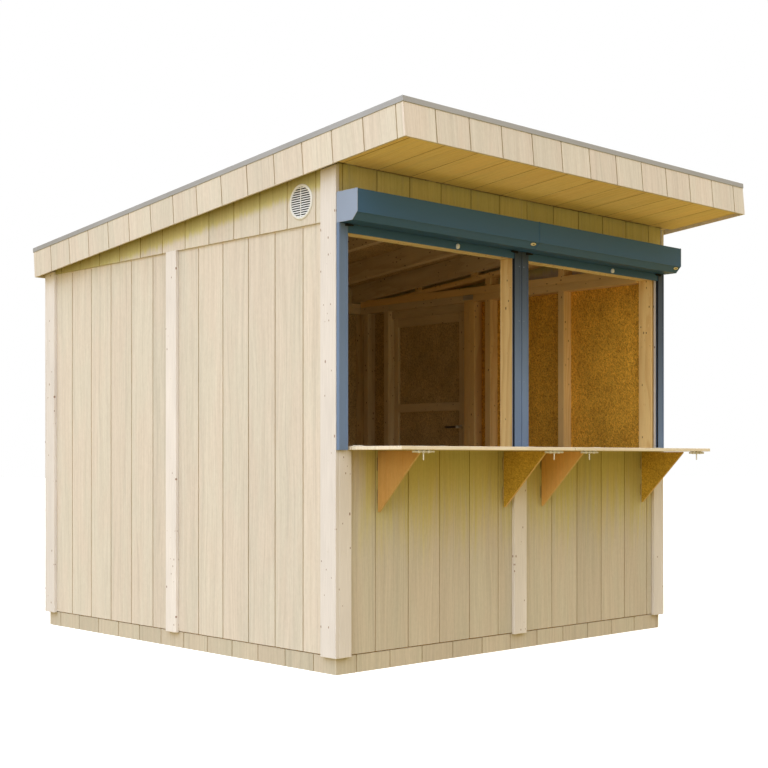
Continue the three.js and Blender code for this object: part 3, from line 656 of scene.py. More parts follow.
def siding(shape, along, bottom, top, groove, thick=SIDING, painted_shade=lambda x, z: 0.0, place=None):
    """A siding sheet with vertical grooves, in sheet coordinates: X runs along the wall, Y goes
    into it from the face, Z is up. `top` is a height or a function of X, `groove` is where one
    groove runs, and the shade function of x and z tells how much shade is painted on each part."""
    edges = (lambda _: bottom), (top if callable(top) else lambda _: top)
    margin = GROOVE_WIDTH / 2 + 0.5
    groove += GROOVE_STEP * math.ceil((along[0] + margin - groove) / GROOVE_STEP)
    profile = [(along[0], 0)]
    while groove < along[1] - margin:
        for side in (-1, 1):
            pair = [(groove + side * GROOVE_WIDTH / 2, 0), (groove + side * GROOVE_FLOOR / 2, GROOVE_DEPTH)]
            profile += pair if side < 0 else pair[::-1]
        groove += GROOVE_STEP
    profile.append((along[1], 0))
    bm = bmesh.new()
    rows = [[bm.verts.new((x, depth, edge(x))) for x, depth in profile] for edge in edges]
    backs = [[bm.verts.new((x, thick, edge(x))) for x, _ in profile] for edge in edges]
    tones, looks = [], []
    strip_tones = [rng.random() for _ in profile]
    for i in range(len(profile) - 1):
        ring = (rows[0][i], rows[0][i + 1], rows[1][i + 1], rows[1][i])
        back = (backs[0][i + 1], backs[0][i], backs[1][i], backs[1][i + 1])
        upper = (rows[1][i], rows[1][i + 1], backs[1][i + 1], backs[1][i])
        lower = (rows[0][i + 1], rows[0][i], backs[0][i], backs[0][i + 1])
        for corners in (ring, back, upper, lower):
            bm.faces.new(corners)
            tones.append(strip_tones[i // 4])
        # Faces inside a groove get the darker groove look: painted shade in the recess, with some dirt.
        looks += [GROOVES[shape.looks[0]] if i % 4 else None, None, None, None]
    bm.faces.new((rows[0][0], rows[1][0], backs[1][0], backs[0][0]))
    bm.faces.new((rows[1][-1], rows[0][-1], backs[0][-1], backs[1][-1]))
    tones += [strip_tones[0], strip_tones[-1]]
    looks += [None, None]
    levels = [painted_shade(x, edge(x)) for edge in edges for x, _ in profile]
    shape.absorb(bm, "z", place or shape.place, None, tones, looks, levels * 2)


def facing(origin, along, inward, up=(0, 0, 1)):
    """Sheet coordinates with their origin moved to `origin` and their axes to these directions."""
    columns = Matrix((along, inward, up)).transposed().to_4x4()
    return Matrix.Translation(origin) @ columns


def on_side(side, face):
    """Sheet coordinates of an upright sheet on one side, whose face is at `face` in X or Y."""
    if side in ("left", "right"):
        return facing((face, 0, 0), (0, 1, 0), (1 if side == "left" else -1, 0, 0))
    return facing((0, face, 0), (1, 0, 0), (0, 1 if side == "front" else -1, 0))


LEFT = on_side("left", FACE)
RIGHT = on_side("right", WIDTH - FACE)
FRONT = on_side("front", FACE)
BACK = on_side("back", DEPTH - FACE)


def sheets_round(x, y, inner_y, groove, side_groove):
    """Side, place, reach and groove of four sheets round a rectangle. The left and right ones
    reach along `inner_y`, between the other two."""
    for side, face, reach in (("front", y[0], x), ("back", y[1], x), ("left", x[0], inner_y),
                              ("right", x[1], inner_y)):
        yield side, on_side(side, face), reach, groove if reach is x else side_groove


def proud(place, amount):
    """The same sheet coordinates, with the face moved outwards."""
    return place @ Matrix.Translation((0, -amount, 0))


# ---- roof
FELT = [-5, -2.6]              # underside and top, as with the rafters
FASCIA_FOOT = -167.6
FELT_LAP = 80
DRIP_LIP = 2.8                 # how far the drip edge stands out past the fascias
DRIP_SKIRT = [(0, 0), (0, -23), (1.6, -25), (2.2, -24.6), (0.9, -22), (0.9, -1.6), (55, -1.6), (55, 0)]
SOFFIT_GROOVE = 22             # X of one of its grooves
FASCIA_GROOVES = (134, 45.8)   # X of one at the front and back, Y of one on the sides


def build_roof():
    build_felt()
    edge = Shape("drip", ROOF)
    for across in "xy":
        for end in (0, 1):
            drip_strip(edge, across, end)
    edge.build("drip_edge", "roof_membrane")

    # the deck takes the copy of strand board for the shaded inside: painted shade
    deck = Shape("inner_strands", ROOF, 0.6)
    board, joint = 625, 1
    y = joint / 2
    while y < ROOF_LENGTH - joint:
        end = min(y + board, ROOF_LENGTH - joint / 2)
        deck.board(within(ROOF_X, 0.5), [y, end - joint], [RAFTER[1] + GAP, FELT[0] - 1], "x")
        y += board
    deck.build("roof_deck_boards", "framing_timber", "roof_deck")
    build_rafters()
    build_fascias()


def build_felt():
    """Three sheets up the slope, each lapping over the one before it, a bead of bitumen along
    the edge of the lap."""
    sheets, inset = 3, 4
    low, high = FELT
    width = (ROOF_X[1] - ROOF_X[0] - 2 * inset) / sheets
    along = within([0, ROOF_LENGTH], inset)
    felt = Shape("felt", ROOF, 0)
    felt.board([ROOF_X[0] + inset, ROOF_X[0] + inset + width], along, FELT, "y")
    for i in range(1, sheets):
        left = ROOF_X[0] + inset + width * i
        right, seam = left + width, left - FELT_LAP
        sheet = [(high + 2, seam), (high + 2, left + 2), (high, left + 14), (high, right), (low, right),
                 (low, left + 0.1), (high + 0.1, left + 0.1), (high + 0.1, seam)]
        felt.prism(sheet, "y", along, "y")
        bead = [(high + 1.2, seam + 1), (high + 0.1, seam + 1), (high + 0.1, seam - 8),
                (high + 0.5, seam - 5)]
        felt.prism(bead, "y", along, "y", look="bitumen")
    felt.build("roofing_felt", "roof_membrane", "roof_cover")


def drip_strip(shape, across, end):
    """One folded edge strip, at the low or the high end of the roof across X or Y, mitred."""
    outside = {"x": within(ROOF_X, -DRIP_LIP), "y": within([0, ROOF_LENGTH], -DRIP_LIP)}
    length = "y" if across == "x" else "x"
    bm = bmesh.new()
    rows = []
    for stop in (0, 1):
        row = []
        for inset, z in DRIP_SKIRT:
            a = outside[across][end] + inset * (1, -1)[end]
            b = outside[length][stop] + inset * (1, -1)[stop]
            row.append(bm.verts.new((a, b, z) if across == "x" else (b, a, z)))
        rows.append(row)
    bm.faces.new(rows[0])
    bm.faces.new(rows[1][::-1])
    join_rings(bm, *rows)
    bmesh.ops.recalc_face_normals(bm, faces=bm.faces)
    shape.absorb(bm, length, shape.place)


def build_rafters():
    """Seven rafters between a front and a back rim; the outer two carry the side fascias."""
    # the rafters take the copy of framing for the shaded inside: painted shade
    timber = Shape("inner_framing", ROOF, STUD_EDGE)
    between = within(ROOF_FRAME_Y, STUD)
    on_wall, quarter = 93.5, 600
    outer = within(ROOF_FRAME_X, STUD / 2)
    for x in (on_wall, quarter, WIDTH / 2, WIDTH - quarter, WIDTH - on_wall, *outer):
        timber.board(about(x, STUD / 2), between, RAFTER, "y")
    for rim in ends(ROOF_FRAME_Y, STUD):
        timber.board(ROOF_FRAME_X, rim, RAFTER, "x")
    timber.build("rafters", "framing_timber", "roof_frame")


def build_fascias():
    for side, place, along, groove in sheets_round(ROOF_X, [0, ROOF_LENGTH], ROOF_FRAME_Y, *FASCIA_GROOVES):
        # the front fascia gets the paler copy of the siding: painted light
        fascia = Shape("front_siding" if side == "front" else "siding", ROOF @ place)
        siding(fascia, along, FASCIA_FOOT, RAFTER[1], groove, PANEL)
        fascia.build(f"{side}_fascia", "siding_panel", f"fascia_{side}")

    bottom = RAFTER[0] - GAP - SKIN
    wall = (spans("soffit")[1][1] - ROOF_FRONT) / math.cos(ROOF_SLOPE)
    soffit = Shape("soffit", ROOF @ facing((0, 0, bottom), (1, 0, 0), (0, 0, 1), (0, 1, 0)))
    siding(soffit, within(ROOF_FRAME_X, GAP), ROOF_FRAME_Y[0], wall + bottom * math.tan(ROOF_SLOPE) + 2,
           SOFFIT_GROOVE, SKIN)
    soffit.build("soffit_boards", "siding_panel", "soffit")


# ---- base
PLINTH_GROOVES = (138.1, 176.5)


def build_base():
    x, y, (under, surface) = FLOOR
    joists = Shape("framing")
    height = [0, under - GAP]
    for rim in ends(y, STUD):
        joists.board(x, rim, height, "x")
    bays = 4
    for i in range(bays + 1):
        left = x[0] + (x[1] - x[0] - STUD) * i / bays
        joists.board([left, left + STUD], within(y, STUD), height, "y")
    joists.build("floor_joists", "framing_timber", "base_frame")

    boards = Shape("strands")
    columns, rows, joint = 2, 4, 1
    width, length = (x[1] - x[0]) / columns, (y[1] - y[0]) / rows
    for row in range(rows):
        near = y[0] + row * length
        for column in range(columns):
            left = x[0] + column * width
            boards.board(within([left, left + width], joint / 2), within([near, near + length], joint / 2),
                         [under, surface], "x", 1)
    boards.build("floor_boards", "floor_board", "floor")

    # the plinth gets the darker copy of the siding: painted shade
    ring = Shape("low_siding")
    inset, top = PLINTH[0][0], PLINTH[2][1] - 4
    x, y = within([0, WIDTH], inset), within([0, DEPTH], inset)
    for _, place, reach, groove in sheets_round(x, y, within(y, PANEL), *PLINTH_GROOVES):
        siding(ring, reach, 0, top, groove, PANEL, place=place)
    ring.build("plinth_ring", "siding_panel", "plinth")


# ---- walls
STRAND_SHEET = 1219                            # width of a sheet of strand board
STRIP_GROOVE = 144.6
SHIMS = (332, 840, 1348, 1856)                 # front ends of the shims under the outer rafters
SHIM = [60, 21]                                # their length and height
SLOPING_PLATE = 30                             # thickness of the plate under the shims
SIDE_FRAME = [SKIN + 0.2, SIDE_IN - FACE]      # where the framing lies behind the wall's face
FRONT_FRAME = [SKIN + 0.2, FRONT_IN - FACE]
UPPER_FRAME = [0.5, SIDE_IN - FACE]


def strand_sheet(shape, along, bottom, top):
    """The strand-board back of a siding sheet, as flat panels with a fine joint between them."""
    x = along[0]
    while x < along[1] - 1:
        end = min(x + STRAND_SHEET, along[1])
        left, right = x + 0.5, end - 0.5
        outline = [(bottom, left), (bottom, right), (top, right), (top, left)]
        shape.prism(outline, "y", [SIDING + 0.1, SKIN])
        x = end


def stud(shape, at, top=LINTEL, bottom=PLATE_BOTTOM + STUD, depth=SIDE_FRAME):
    shape.board([at, at + STUD], depth, [bottom, top])


def plate(shape, along, bottom, depth=SIDE_FRAME):
    shape.board(along, depth, [bottom, bottom + STUD], "x")


def side_wall(name, place, along, frame_along, studs, looks):
    """Siding, strand-board back and frame of one stretch of a side wall."""
    skin, back, timber = layers(place, "siding", *looks)
    siding(skin, along, WALL_BOTTOM, STRIP_BOTTOM + 4, SIDE_GROOVE)
    strand_sheet(back, along, WALL_BOTTOM + 1, RAIL_TOP)
    plate(timber, frame_along, PLATE_BOTTOM)
    plate(timber, frame_along, LINTEL)
    for at in studs:
        stud(timber, at)
    build_layers(name, skin, back, timber, name)


def layers(place, skin, back, timber):
    """The siding of a wall, the strand board behind it and the framing, still empty."""
    return Shape(skin, place), Shape(back, place), Shape(timber, place, STUD_EDGE)


def build_layers(name, skin, back, timber, *nodes):
    skin.build(f"{name}_siding", "siding_panel", *nodes)
    back.build(f"{name}_strand_board", "floor_board")
    timber.build(f"{name}_frame", "framing_timber")


def upper_side(name, place, look):
    """The upper siding strip over a side wall, its rail, short studs, sloping plate and shims.
    A stud is left out where the slope leaves no room for it."""
    strip = Shape("strip_siding", proud(place, FACE - STRIP_FACE))
    timber = Shape(look, place, STUD_EDGE)
    # Painted shadow under the side fascia: the strip turns golden and darker towards its top.
    siding(strip, within([0, DEPTH], CORNER[1][1] + GAP), STRIP_BOTTOM, under_rafters,
           STRIP_GROOVE, SKIN, lambda y, z: 2.1 - 0.0165 * (under_rafters(y) - z))
    strip.build(f"{name}_strip", "siding_panel", f"{name}_wall")

    start, floor = FRONT_IN + GAP, RAIL_TOP + STUD
    timber.board([start, DEPTH - SIDE_IN - GAP], UPPER_FRAME, [RAIL_TOP + 0.5, floor], "x")
    for at in [start, *SIDE_STUDS]:
        low, high = [under_rafters(y) - SHIM[1] - SLOPING_PLATE for y in (at + STUD, at)]
        if low > floor + 5:
            outline = [(floor, at), (floor, at + STUD), (low, at + STUD), (high, at)]
            timber.prism(outline, "y", UPPER_FRAME, "z", STUD_EDGE)
    top = under_rafters(start) - SHIM[1]
    reach = [start + (height - floor) / math.tan(ROOF_SLOPE) for height in (top - SLOPING_PLATE, top)]
    outline = [(top - SLOPING_PLATE, start), (floor, reach[0]), (floor, reach[1]), (top, start)]
    timber.prism(outline, "y", UPPER_FRAME, "x", STUD_EDGE)
    for near in SHIMS:
        far = near + SHIM[0]
        high, low = under_rafters(near), under_rafters(far)
        outline = [(high - SHIM[1], near), (low - SHIM[1], far), (low, far), (high, near)]
        timber.prism(outline, "y", [10, UPPER_FRAME[1] - 2], "x")
    timber.build(f"{name}_frame", "framing_timber")


def build_walls():
    frame_y = [FRONT_IN + GAP, DEPTH - SIDE_IN - GAP]
    skin_y = [FRAME_OUT + GAP, DEPTH - FACE - GAP]
    # the less saturated copies paint the shade of the deep interior
    inner = ("inner_strands", "inner_framing")
    side_wall("left_wall", LEFT, skin_y, frame_y, [*SIDE_STUDS, LAST_STUD], inner)
    beside_door = [DOORWAY[0] - 2 * STUD, DOORWAY[0] - STUD]
    side_wall("right_wall_front", RIGHT, [skin_y[0], DOORWAY[0]], [frame_y[0], DOORWAY[0]],
              [*SIDE_STUDS[:2], *beside_door], ("strands", "framing"))
    side_wall("right_wall_back", RIGHT, [DOORWAY[1], skin_y[1]], [DOORWAY[1], frame_y[1]],
              [DOORWAY[1], LAST_STUD], inner)
    upper_side("left_upper", LEFT, "inner_framing")
    upper_side("right_upper", RIGHT, "framing")
    build_front_wall()
    build_back_wall()

    head = Shape("inner_framing", RIGHT, STUD_EDGE)
    along = within(DOORWAY, GAP)
    back, stop = WIDTH - FACE - DOOR[0][0], 16
    head.board(along, UPPER_FRAME, [LINTEL, RAIL_TOP], "x")
    head.board(along, [0.5, back], [DOOR_HEAD, LINTEL - 0.5], "x")
    head.board(along, [back + 1.5, back + 1.5 + stop], [DOOR_HEAD - stop, LINTEL - 0.5], "x", 1.5)
    head.build("doorway_head", "framing_timber", "door_header")


def painted_counter_shade(x, z):
    """How much shade is painted on the low front wall: much under the counter, hardly at its left end."""
    if z < SILL_WALL_TOP - 1:
        return -0.3
    return -0.2 if x < CORNER[1][1] / 2 else 1.15


def build_front_wall():
    # the low front wall gets the darker copy of the siding: painted shade
    skin, back, timber = layers(FRONT, "low_siding", "strands", "framing")
    seam = WIDTH / 2
    for along in ([SIDE_BOARD + GAP, seam - GAP], [seam + GAP, WIDTH - SIDE_BOARD - GAP]):
        # painted shade under the counter
        siding(skin, along, WALL_BOTTOM, SILL_WALL_TOP, FRONT_GROOVE, painted_shade=painted_counter_shade)
        strand_sheet(back, along, WALL_BOTTOM + 1, SILL_WALL_TOP)
    for along in ([BAYS_X[0], POST[0][0] - GAP], [POST[0][1] + GAP, BAYS_X[1]]):
        plate(timber, along, PLATE_BOTTOM, FRONT_FRAME)
        plate(timber, along, SILL_WALL_TOP - STUD, FRONT_FRAME)
    for at in MID_STUDS:
        stud(timber, at, SILL_WALL_TOP - STUD, depth=FRONT_FRAME)
    for at in END_POSTS:
        stud(timber, at, OPENING_TOP - GAP, PLATE_BOTTOM, FRONT_FRAME)
    build_layers("front_wall", skin, back, timber, "front_wall_left", "front_wall_right")

    post = Shape("framing", edge=STUD_EDGE)
    for y, z in ((POST[1], [SILL_WALL_TOP + GAP, OPENING_TOP - GAP]),
                 ([FRAME_OUT + GAP, POST[1][1]], [PLATE_BOTTOM, SILL_WALL_TOP])):
        post.board(POST[0], y, z)
    post.build("middle_post", "framing_timber", "front_post_middle")
    build_front_upper()


def build_front_upper():
    strip = Shape("siding", proud(FRONT, FACE - STRIP_FACE))
    timber = Shape("framing", FRONT, STUD_EDGE)
    # Painted shade under the roof: the whole strip gets the golden tint.
    siding(strip, within([0, WIDTH], SIDE_BOARD + GAP), RAIL_TOP, under_rafters(STRIP_FACE, 1.2),
           FRONT_GROOVE, SKIN, lambda x, z: 1.0)
    strip.build("front_upper_strip", "siding_panel", "front_upper_wall")
    timber.board(FRAME_X, FRONT_FRAME, [OPENING_TOP, RAIL_TOP], "x", look="lintel")
    plate(timber, FRAME_X, LINTEL + STUD, FRONT_FRAME)
    for at in (END_POSTS[0], SHORT_STUDS[0], POST[0][0], SHORT_STUDS[1], END_POSTS[1]):
        stud(timber, at, HEAD_PLATE, LINTEL + 2 * STUD, FRONT_FRAME)
    near = FRAME_OUT + 0.2
    outline = [(near, HEAD_PLATE), (FRONT_IN, HEAD_PLATE), (FRONT_IN, under_rafters(FRONT_IN)),
               (near, under_rafters(FRAME_OUT))]
    timber.place = None            # the plate on top is given in kiosk coordinates
    timber.prism(outline, "x", FRAME_X, "x", STUD_EDGE)
    timber.build("front_upper_frame", "framing_timber")


def build_back_wall():
    # the back wall's inside takes the copies for the shaded interior: painted shade
    skin, back, timber = layers(BACK, "siding", "inner_strands", "inner_framing")
    top = under_rafters(DEPTH - FACE)
    along = within([0, WIDTH], FRAME_OUT + GAP)
    siding(skin, along, WALL_BOTTOM, top, FRONT_GROOVE)
    strand_sheet(back, along, WALL_BOTTOM + 1, LINTEL + 10)
    plate(timber, FRAME_X, PLATE_BOTTOM)
    plate(timber, FRAME_X, LINTEL)
    timber.board(FRAME_X, SIDE_FRAME, [RAIL_TOP, top - 2], "x")
    for at in (END_POSTS[0], MID_STUDS[0], (WIDTH - STUD) / 2, MID_STUDS[1], END_POSTS[1]):
        stud(timber, at)
    build_layers("back_wall", skin, back, timber, "back_wall")


# ---- trim
def build_trim():
    bottom = CORNER[2][0]
    under_soffit = SKIN + 4 * GAP
    beside_opening, back_return = 72, 105
    for side in ("left", "right"):
        flip = (lambda span: span) if side == "left" else mirror
        corner = Shape("spruce")
        slanted_board(corner, flip([0, SIDE_BOARD]), [0, CORNER[1][1]], bottom, under_soffit)
        for edge, z in ((TRIM_WIDTH, [bottom, SILL_WALL_TOP]),
                        (beside_opening, [SILL_WALL_TOP, RAIL_TOP - GAP])):
            corner.board(flip([SIDE_BOARD, edge]), [0, FACE - GAP], z)
        corner.build(f"front_corner_{side}", "spruce_trim", f"corner_board_front_{side}")

        back = Shape("spruce")
        slanted_board(back, flip([0, FACE - GAP]), [DEPTH - back_return, DEPTH - TRIM], bottom, under_soffit)
        slanted_board(back, flip([0, TRIM_WIDTH]), [DEPTH - TRIM + GAP, DEPTH], bottom, under_soffit)
        back.build(f"back_corner_{side}", "spruce_trim", f"corner_board_back_{side}")

    for name in ("front_batten", "left_batten", "right_batten", "back_batten"):
        batten = Shape("spruce")
        x, y, z = spans(name)
        if name == "back_batten":
            slanted_board(batten, x, y, z[0])
        else:
            batten.board(x, y, z)
        batten.build(f"{name}_board", "spruce_trim", name)

    casing = Shape("spruce")
    x, y, z = spans("door_casing")
    casing.board(x, [y[0], DOORWAY[0]], z)
    casing.board(x, [DOORWAY[1], y[1]], z)
    casing.board(x, DOORWAY, [DOOR_HEAD, z[1]], "y")
    casing.build("door_casing_boards", "spruce_trim", "door_casing")


def slanted_board(shape, x, y, bottom, gap=0.6):
    """An upright board whose top follows the roof, this far under the rafters."""
    top = [under_rafters(at, gap) for at in y]
    outline = [(y[0], bottom), (y[1], bottom), (y[1], top[1]), (y[0], top[0])]
    shape.prism(outline, "x", x, "z", 1.5)


# ---- roller shutters
def build_shutters():
    for side in ("left", "right"):
        build_housing(side)
        bar = Shape("shutter")
        x, y, z = spans(f"shutter_bar_{side}")
        z[0] -= 4
        profile = [(y[0], z[0] + 3), (y[0] + 2, z[0]), (y[1] - 2, z[0]), (y[1], z[0] + 3), (y[1], z[1]),
                   (y[0], z[1])]
        bar.prism(profile, "x", x, "x")
        bar.build(f"shutter_bottom_bar_{side}", "shutter_metal", f"shutter_bar_{side}")
    for name in ("left", "middle", "right"):
        build_guide(name)
    stops = Shape("plastic")
    y, stop_height = spans("shutter_bar_left")[1][0], 1951
    dome = [(9, 0), (9, 7), (7.5, 10.5), (4, 12.5), (1, 13)]
    for x in (740, 1925):
        stops.lathe(dome, aimed((x, y, stop_height), (0, -1, 0)) @ Matrix.Diagonal((1, 1.4, 1, 1)), 20)
    stops.build("shutter_stops", "white_plastic")


def build_housing(side):
    """A five-sided box with a cap at its outer end and a seam where its front folds back."""
    x, y, z = spans(f"shutter_box_{side}")
    fold, foot, end = 2009, -106, 3.2

    def outline(inset):
        return [(y[1], z[0] + inset), (y[1], z[1] - inset), (y[0] + inset, z[1] - inset),
                (y[0] + inset, fold + inset * 0.4), (foot + inset * 0.4, z[0] + inset)]

    box = Shape("shutter")
    between = within(x, 3)
    box.prism(outline(1.6), "x", between, "x")
    front, back = y[0] + 0.8, y[0] + 4
    box.prism([(front, fold - 4), (front, fold + 5), (back, fold + 5), (back, fold - 4)], "x", between, "x")
    # the outer end caps get the paler copy of the coat: painted light
    looks = ("cap", "shutter") if side == "left" else ("shutter", "cap")
    for span, look in zip(ends(x, end), looks):
        box.prism(outline(0), "x", span, "z", 0.6, look=look)
    box.build(f"shutter_housing_{side}", "shutter_metal", f"shutter_box_{side}")


def build_guide(name):
    """A guide with a brush-lined channel on each side that faces an opening; the middle one is
    two guides back to back."""
    x, y, z = spans(f"shutter_guide_{name}")
    guide = Shape("guide")
    wall, deep, lip, dish = 3, 12, 10, 1.5
    joint, joint_depth = 2.5, 8
    open_sides = {"left": (False, True), "middle": (True, True), "right": (True, False)}[name]
    sides = list(zip(x, (1, -1), open_sides))

    def side(edge, inward, is_open):
        """The outline of one side, from the back to the front."""
        if not is_open:
            return [(edge, y[1]), (edge, y[0])]
        floor = edge + inward * deep
        return [(edge, y[1]), (edge, y[1] - wall), (floor, y[1] - wall), (floor, y[0] + wall),
                (edge, y[0] + wall), (edge, y[0])]

    def dished(*span):
        left, right = within(span, lip)
        return [(left, y[0]), (left, y[0] + dish), (right, y[0] + dish), (right, y[0])]

    front = dished(*x)
    if name == "middle":
        left, right = about(middle(x), joint)
        seam = [(left, y[0]), (left, y[0] + joint_depth), (right, y[0] + joint_depth), (right, y[0])]
        front = dished(x[0], left) + seam + dished(right, x[1])
    outline = side(*sides[0]) + front + side(*sides[1])[::-1]
    # Painted shade: the guides darken towards their tops under the boxes, the middle and right ones most.
    painted_guide_shade = {"left": (0.0, 0.5), "middle": (0.0, 1.05), "right": (0.4, 1.05)}[name]
    guide.prism(outline, "z", z, painted_shade=painted_guide_shade)
    for edge, inward, is_open in sides:
        if is_open:
            brush = sorted([edge + inward * 1.5, edge + inward * (deep - 0.3)])
            guide.board(brush, within(y, wall + 0.2), within(z, 1), "z", 0.3, look="rubber")
    columns, screw_heights = about(middle(x), -17), (1032, 1330, 1630, 1900)
    for height in screw_heights:
        for column in columns if name == "middle" else columns[:1]:
            guide.screw((column, y[0] + dish, height), (0, -1, 0), 2.4, "cap")
    guide.build(f"shutter_rail_{name}", "shutter_metal", f"shutter_guide_{name}")


# ---- counter
def build_counter():
    sill = Shape("counter")
    y = SILL[1]
    for x, reach in (([BAYS_X[0] + GAP, POST[0][0] - GAP], y), ([POST[0][1] + GAP, BAYS_X[1] - GAP], y),
                     (SILL[0], [y[0], -GAP])):
        sill.board(x, reach, SILL[2], "x")
    sill.build("sill_boards", "counter_board", "sill_board")
    for side in ("left", "right"):
        node = f"counter_leaf_{side}"
        leaf = Shape("counter")
        leaf.board(*spans(node), "x")
        leaf.build(f"counter_board_{side}", "counter_board", node, body=node)
    for number in range(1, 5):
        build_bracket(number)


def build_bracket(number):
    """A triangular plate, smooth on one side and of plain strand board on the other."""
    node = f"counter_bracket_{number}"
    x, y, z = spans(node)
    z[1] += 2.5
    nose, rim = 6, 0.6
    board = Shape("edge")
    outline = [(y[1], z[1]), (y[0], z[1]), (y[0], z[1] - nose), (y[1] - nose, z[0]), (y[1], z[0])]
    board.prism(outline, "x", within(x, 0.4))
    inset = [(y[1] - rim, z[1] - rim), (y[0] + rim, z[1] - rim), (y[0] + rim, z[1] - nose),
             (y[1] - nose, z[0] + rim), (y[1] - rim, z[0] + rim)]
    smooth, strand = ends(x, 1) if number % 2 else reversed(ends(x, 1))
    # the far two brackets get the lighter copy of the face: painted light
    board.prism(inset, "x", smooth, look="bracket" if number < 3 else "pale_bracket")
    board.prism(inset, "x", strand, look="bracket_strands")
    board.build(f"bracket_plate_{number}", "bracket_board", node, body=node)


# ---- door and vent
def build_door():
    skin, trim = Shape("siding", RIGHT), Shape("spruce", proud(RIGHT, FACE))
    # the door's inside takes the copies for the shaded interior: painted shade
    timber, panel = Shape("inner_framing", RIGHT, STUD_EDGE), Shape("inner_strands", RIGHT)
    y, z = DOOR[1], DOOR[2]
    siding(skin, y, z[0], z[1], SIDE_GROOVE)
    depth = [0, FACE - GAP]
    for along in ends(y, TRIM_WIDTH):
        trim.board(along, depth, z)
    for height in ends(z, TRIM_WIDTH):
        trim.board(within(y, TRIM_WIDTH), depth, height, "x")
    low, high = within(z, 1)
    strand_sheet(panel, y, low, high)
    back = [SKIN + 0.2, WIDTH - FACE - DOOR[0][0]]
    foot_rail, middle_rail, head_rail = 90, [1256, 1311], 69
    stiles = [[y[0] + 3, y[0] + 88], [y[1] - 40, y[1] - 1]]
    for along in stiles:
        timber.board(along, back, [low, high])
    between = [stiles[0][1], stiles[1][0]]
    for height in ([low, z[0] + foot_rail], middle_rail, [z[1] - head_rail, high]):
        timber.board(between, back, height, "x")
    skin.build("door_siding", "siding_panel", "side_door", body="side_door")
    panel.build("door_strand_board", "floor_board", body="side_door")
    trim.build("door_trim", "spruce_trim", body="side_door")
    timber.build("door_frame", "framing_timber", body="side_door")
    build_handle()


def build_handle():
    """A round rose and a lever on each side of the door; inside, the grip is dark."""
    _, y, z = spans("door_handle")
    backset, neck, lever_thick, lever_length = 26, 38, 12, 105
    pivot = [y[0] + backset, middle(z)]
    handle = Shape("zinc")
    for face, out, rose, grip in ((DOOR[0][0] - GAP, -1, 14, "dark_steel"), (WIDTH + GAP, 1, 26, None)):
        profile = [(rose, 0), (rose, 5.5), (rose - 2, 8), (11, 8), (10, 12), (9, 14), (9, neck)]
        handle.lathe(profile, aimed((face, *pivot), (out, 0, 0)), 32)
        lever = sorted([face + out * neck, face + out * (neck + lever_thick)])
        handle.board(lever, about(pivot[0], 9), about(pivot[1], 9), "y", 3)
        handle.board(lever, [pivot[0] + 9.5, pivot[0] + lever_length], about(pivot[1], 7), "y", 3, look=grip)
    handle.build("lever_handle", "zinc_steel", "door_handle", body="side_door")


def build_vent():
    """A round louvre: a flange, a flat black disc behind as painted shade of the bore, sloping slats and a
    bar down the middle.
    """
    _, y, z = spans("vent_cover")
    radius = (y[1] - y[0]) / 2
    rim, slats = 12, 13
    inner = radius - rim
    face = STRIP_FACE - GAP
    centre, height = middle(y), middle(z)
    out = Matrix.Translation((face, centre, height)) @ Matrix.Rotation(-math.pi / 2, 4, "Y")
    vent = Shape("plastic")
    flange = [(inner, 0.4), (radius, 0.4), (radius, 2), (radius - 4, 5), (inner + 2, 5), (inner, 3.4)]
    vent.lathe(flange, out, 72, hollow=True)
    # painted shade: a flat black disc where the bore behind the slats is dark
    vent.lathe([(inner + 1, 0), (inner + 1, 0.35), (1, 0.35)], out, 48, "rubber")
    pitch = 2 * inner / slats
    for i in range(slats):
        offset = -inner + pitch * (i + 0.5)
        low, high = height + offset - pitch * 0.34, height + offset + pitch * 0.2
        outline = [(low, face - 4.8), (low, face - 3.6), (high, face - 1.0), (high, face - 2.2)]
        vent.prism(outline, "y", about(centre, math.sqrt(inner ** 2 - offset ** 2) + 1), "y")
    vent.board([face - 4.6, face - 0.5], about(centre, 1.6), about(height, inner), "z", 0.3)
    vent.board([face - 6.2, face - 3], about(centre, 2.5), [height - inner - 7, height - inner + 1], "z", 0.6)
    vent.build("vent_louvre", "white_plastic", "vent_cover")


# ---- fittings
def build_fittings():
    build_locks()
    build_barrel_bolts()
    build_bracket_hinges()
    build_counter_hinges()
    build_door_hinges()
    build_nails()


def build_locks():
    """Oval lock plates in the slanted foot of each box, and the curtain's inlets on the guides."""
    locks = Shape("brass")
    lock_y, lock_z, out_of_foot = -126.2, 1996, (0, -0.7276, -0.686)
    for x in (1159, 2351):
        place = aimed((x, lock_y, lock_z), out_of_foot) @ Matrix.Diagonal((1, 0.45, 1, 1))
        locks.lathe([(19, 0), (19, 1.6), (16.5, 2.6), (1, 2.6)], place, 32)
        locks.lathe([(6, 2.7), (6, 3.1), (1, 3.1)], place @ Matrix.Diagonal((1.2, 0.7, 1, 1)), 16, "rubber")
    locks.build("shutter_locks", "zinc_steel")

    inlets = Shape("rubber")
    y, bottom, tip, top = GUIDE[1][0], 1962, 1966, 1972
    for x, inward in ((54, 1), (1144, -1), (1245, 1), (2338, -1)):
        near, far = x - 16 * inward, x + 26 * inward
        outline = [(top, near), (bottom, near), (tip, far), (top, far)]
        inlets.prism(outline, "y", [y - 7, y + 3], "x", 0.5)
    inlets.build("curtain_inlets", "shutter_metal")


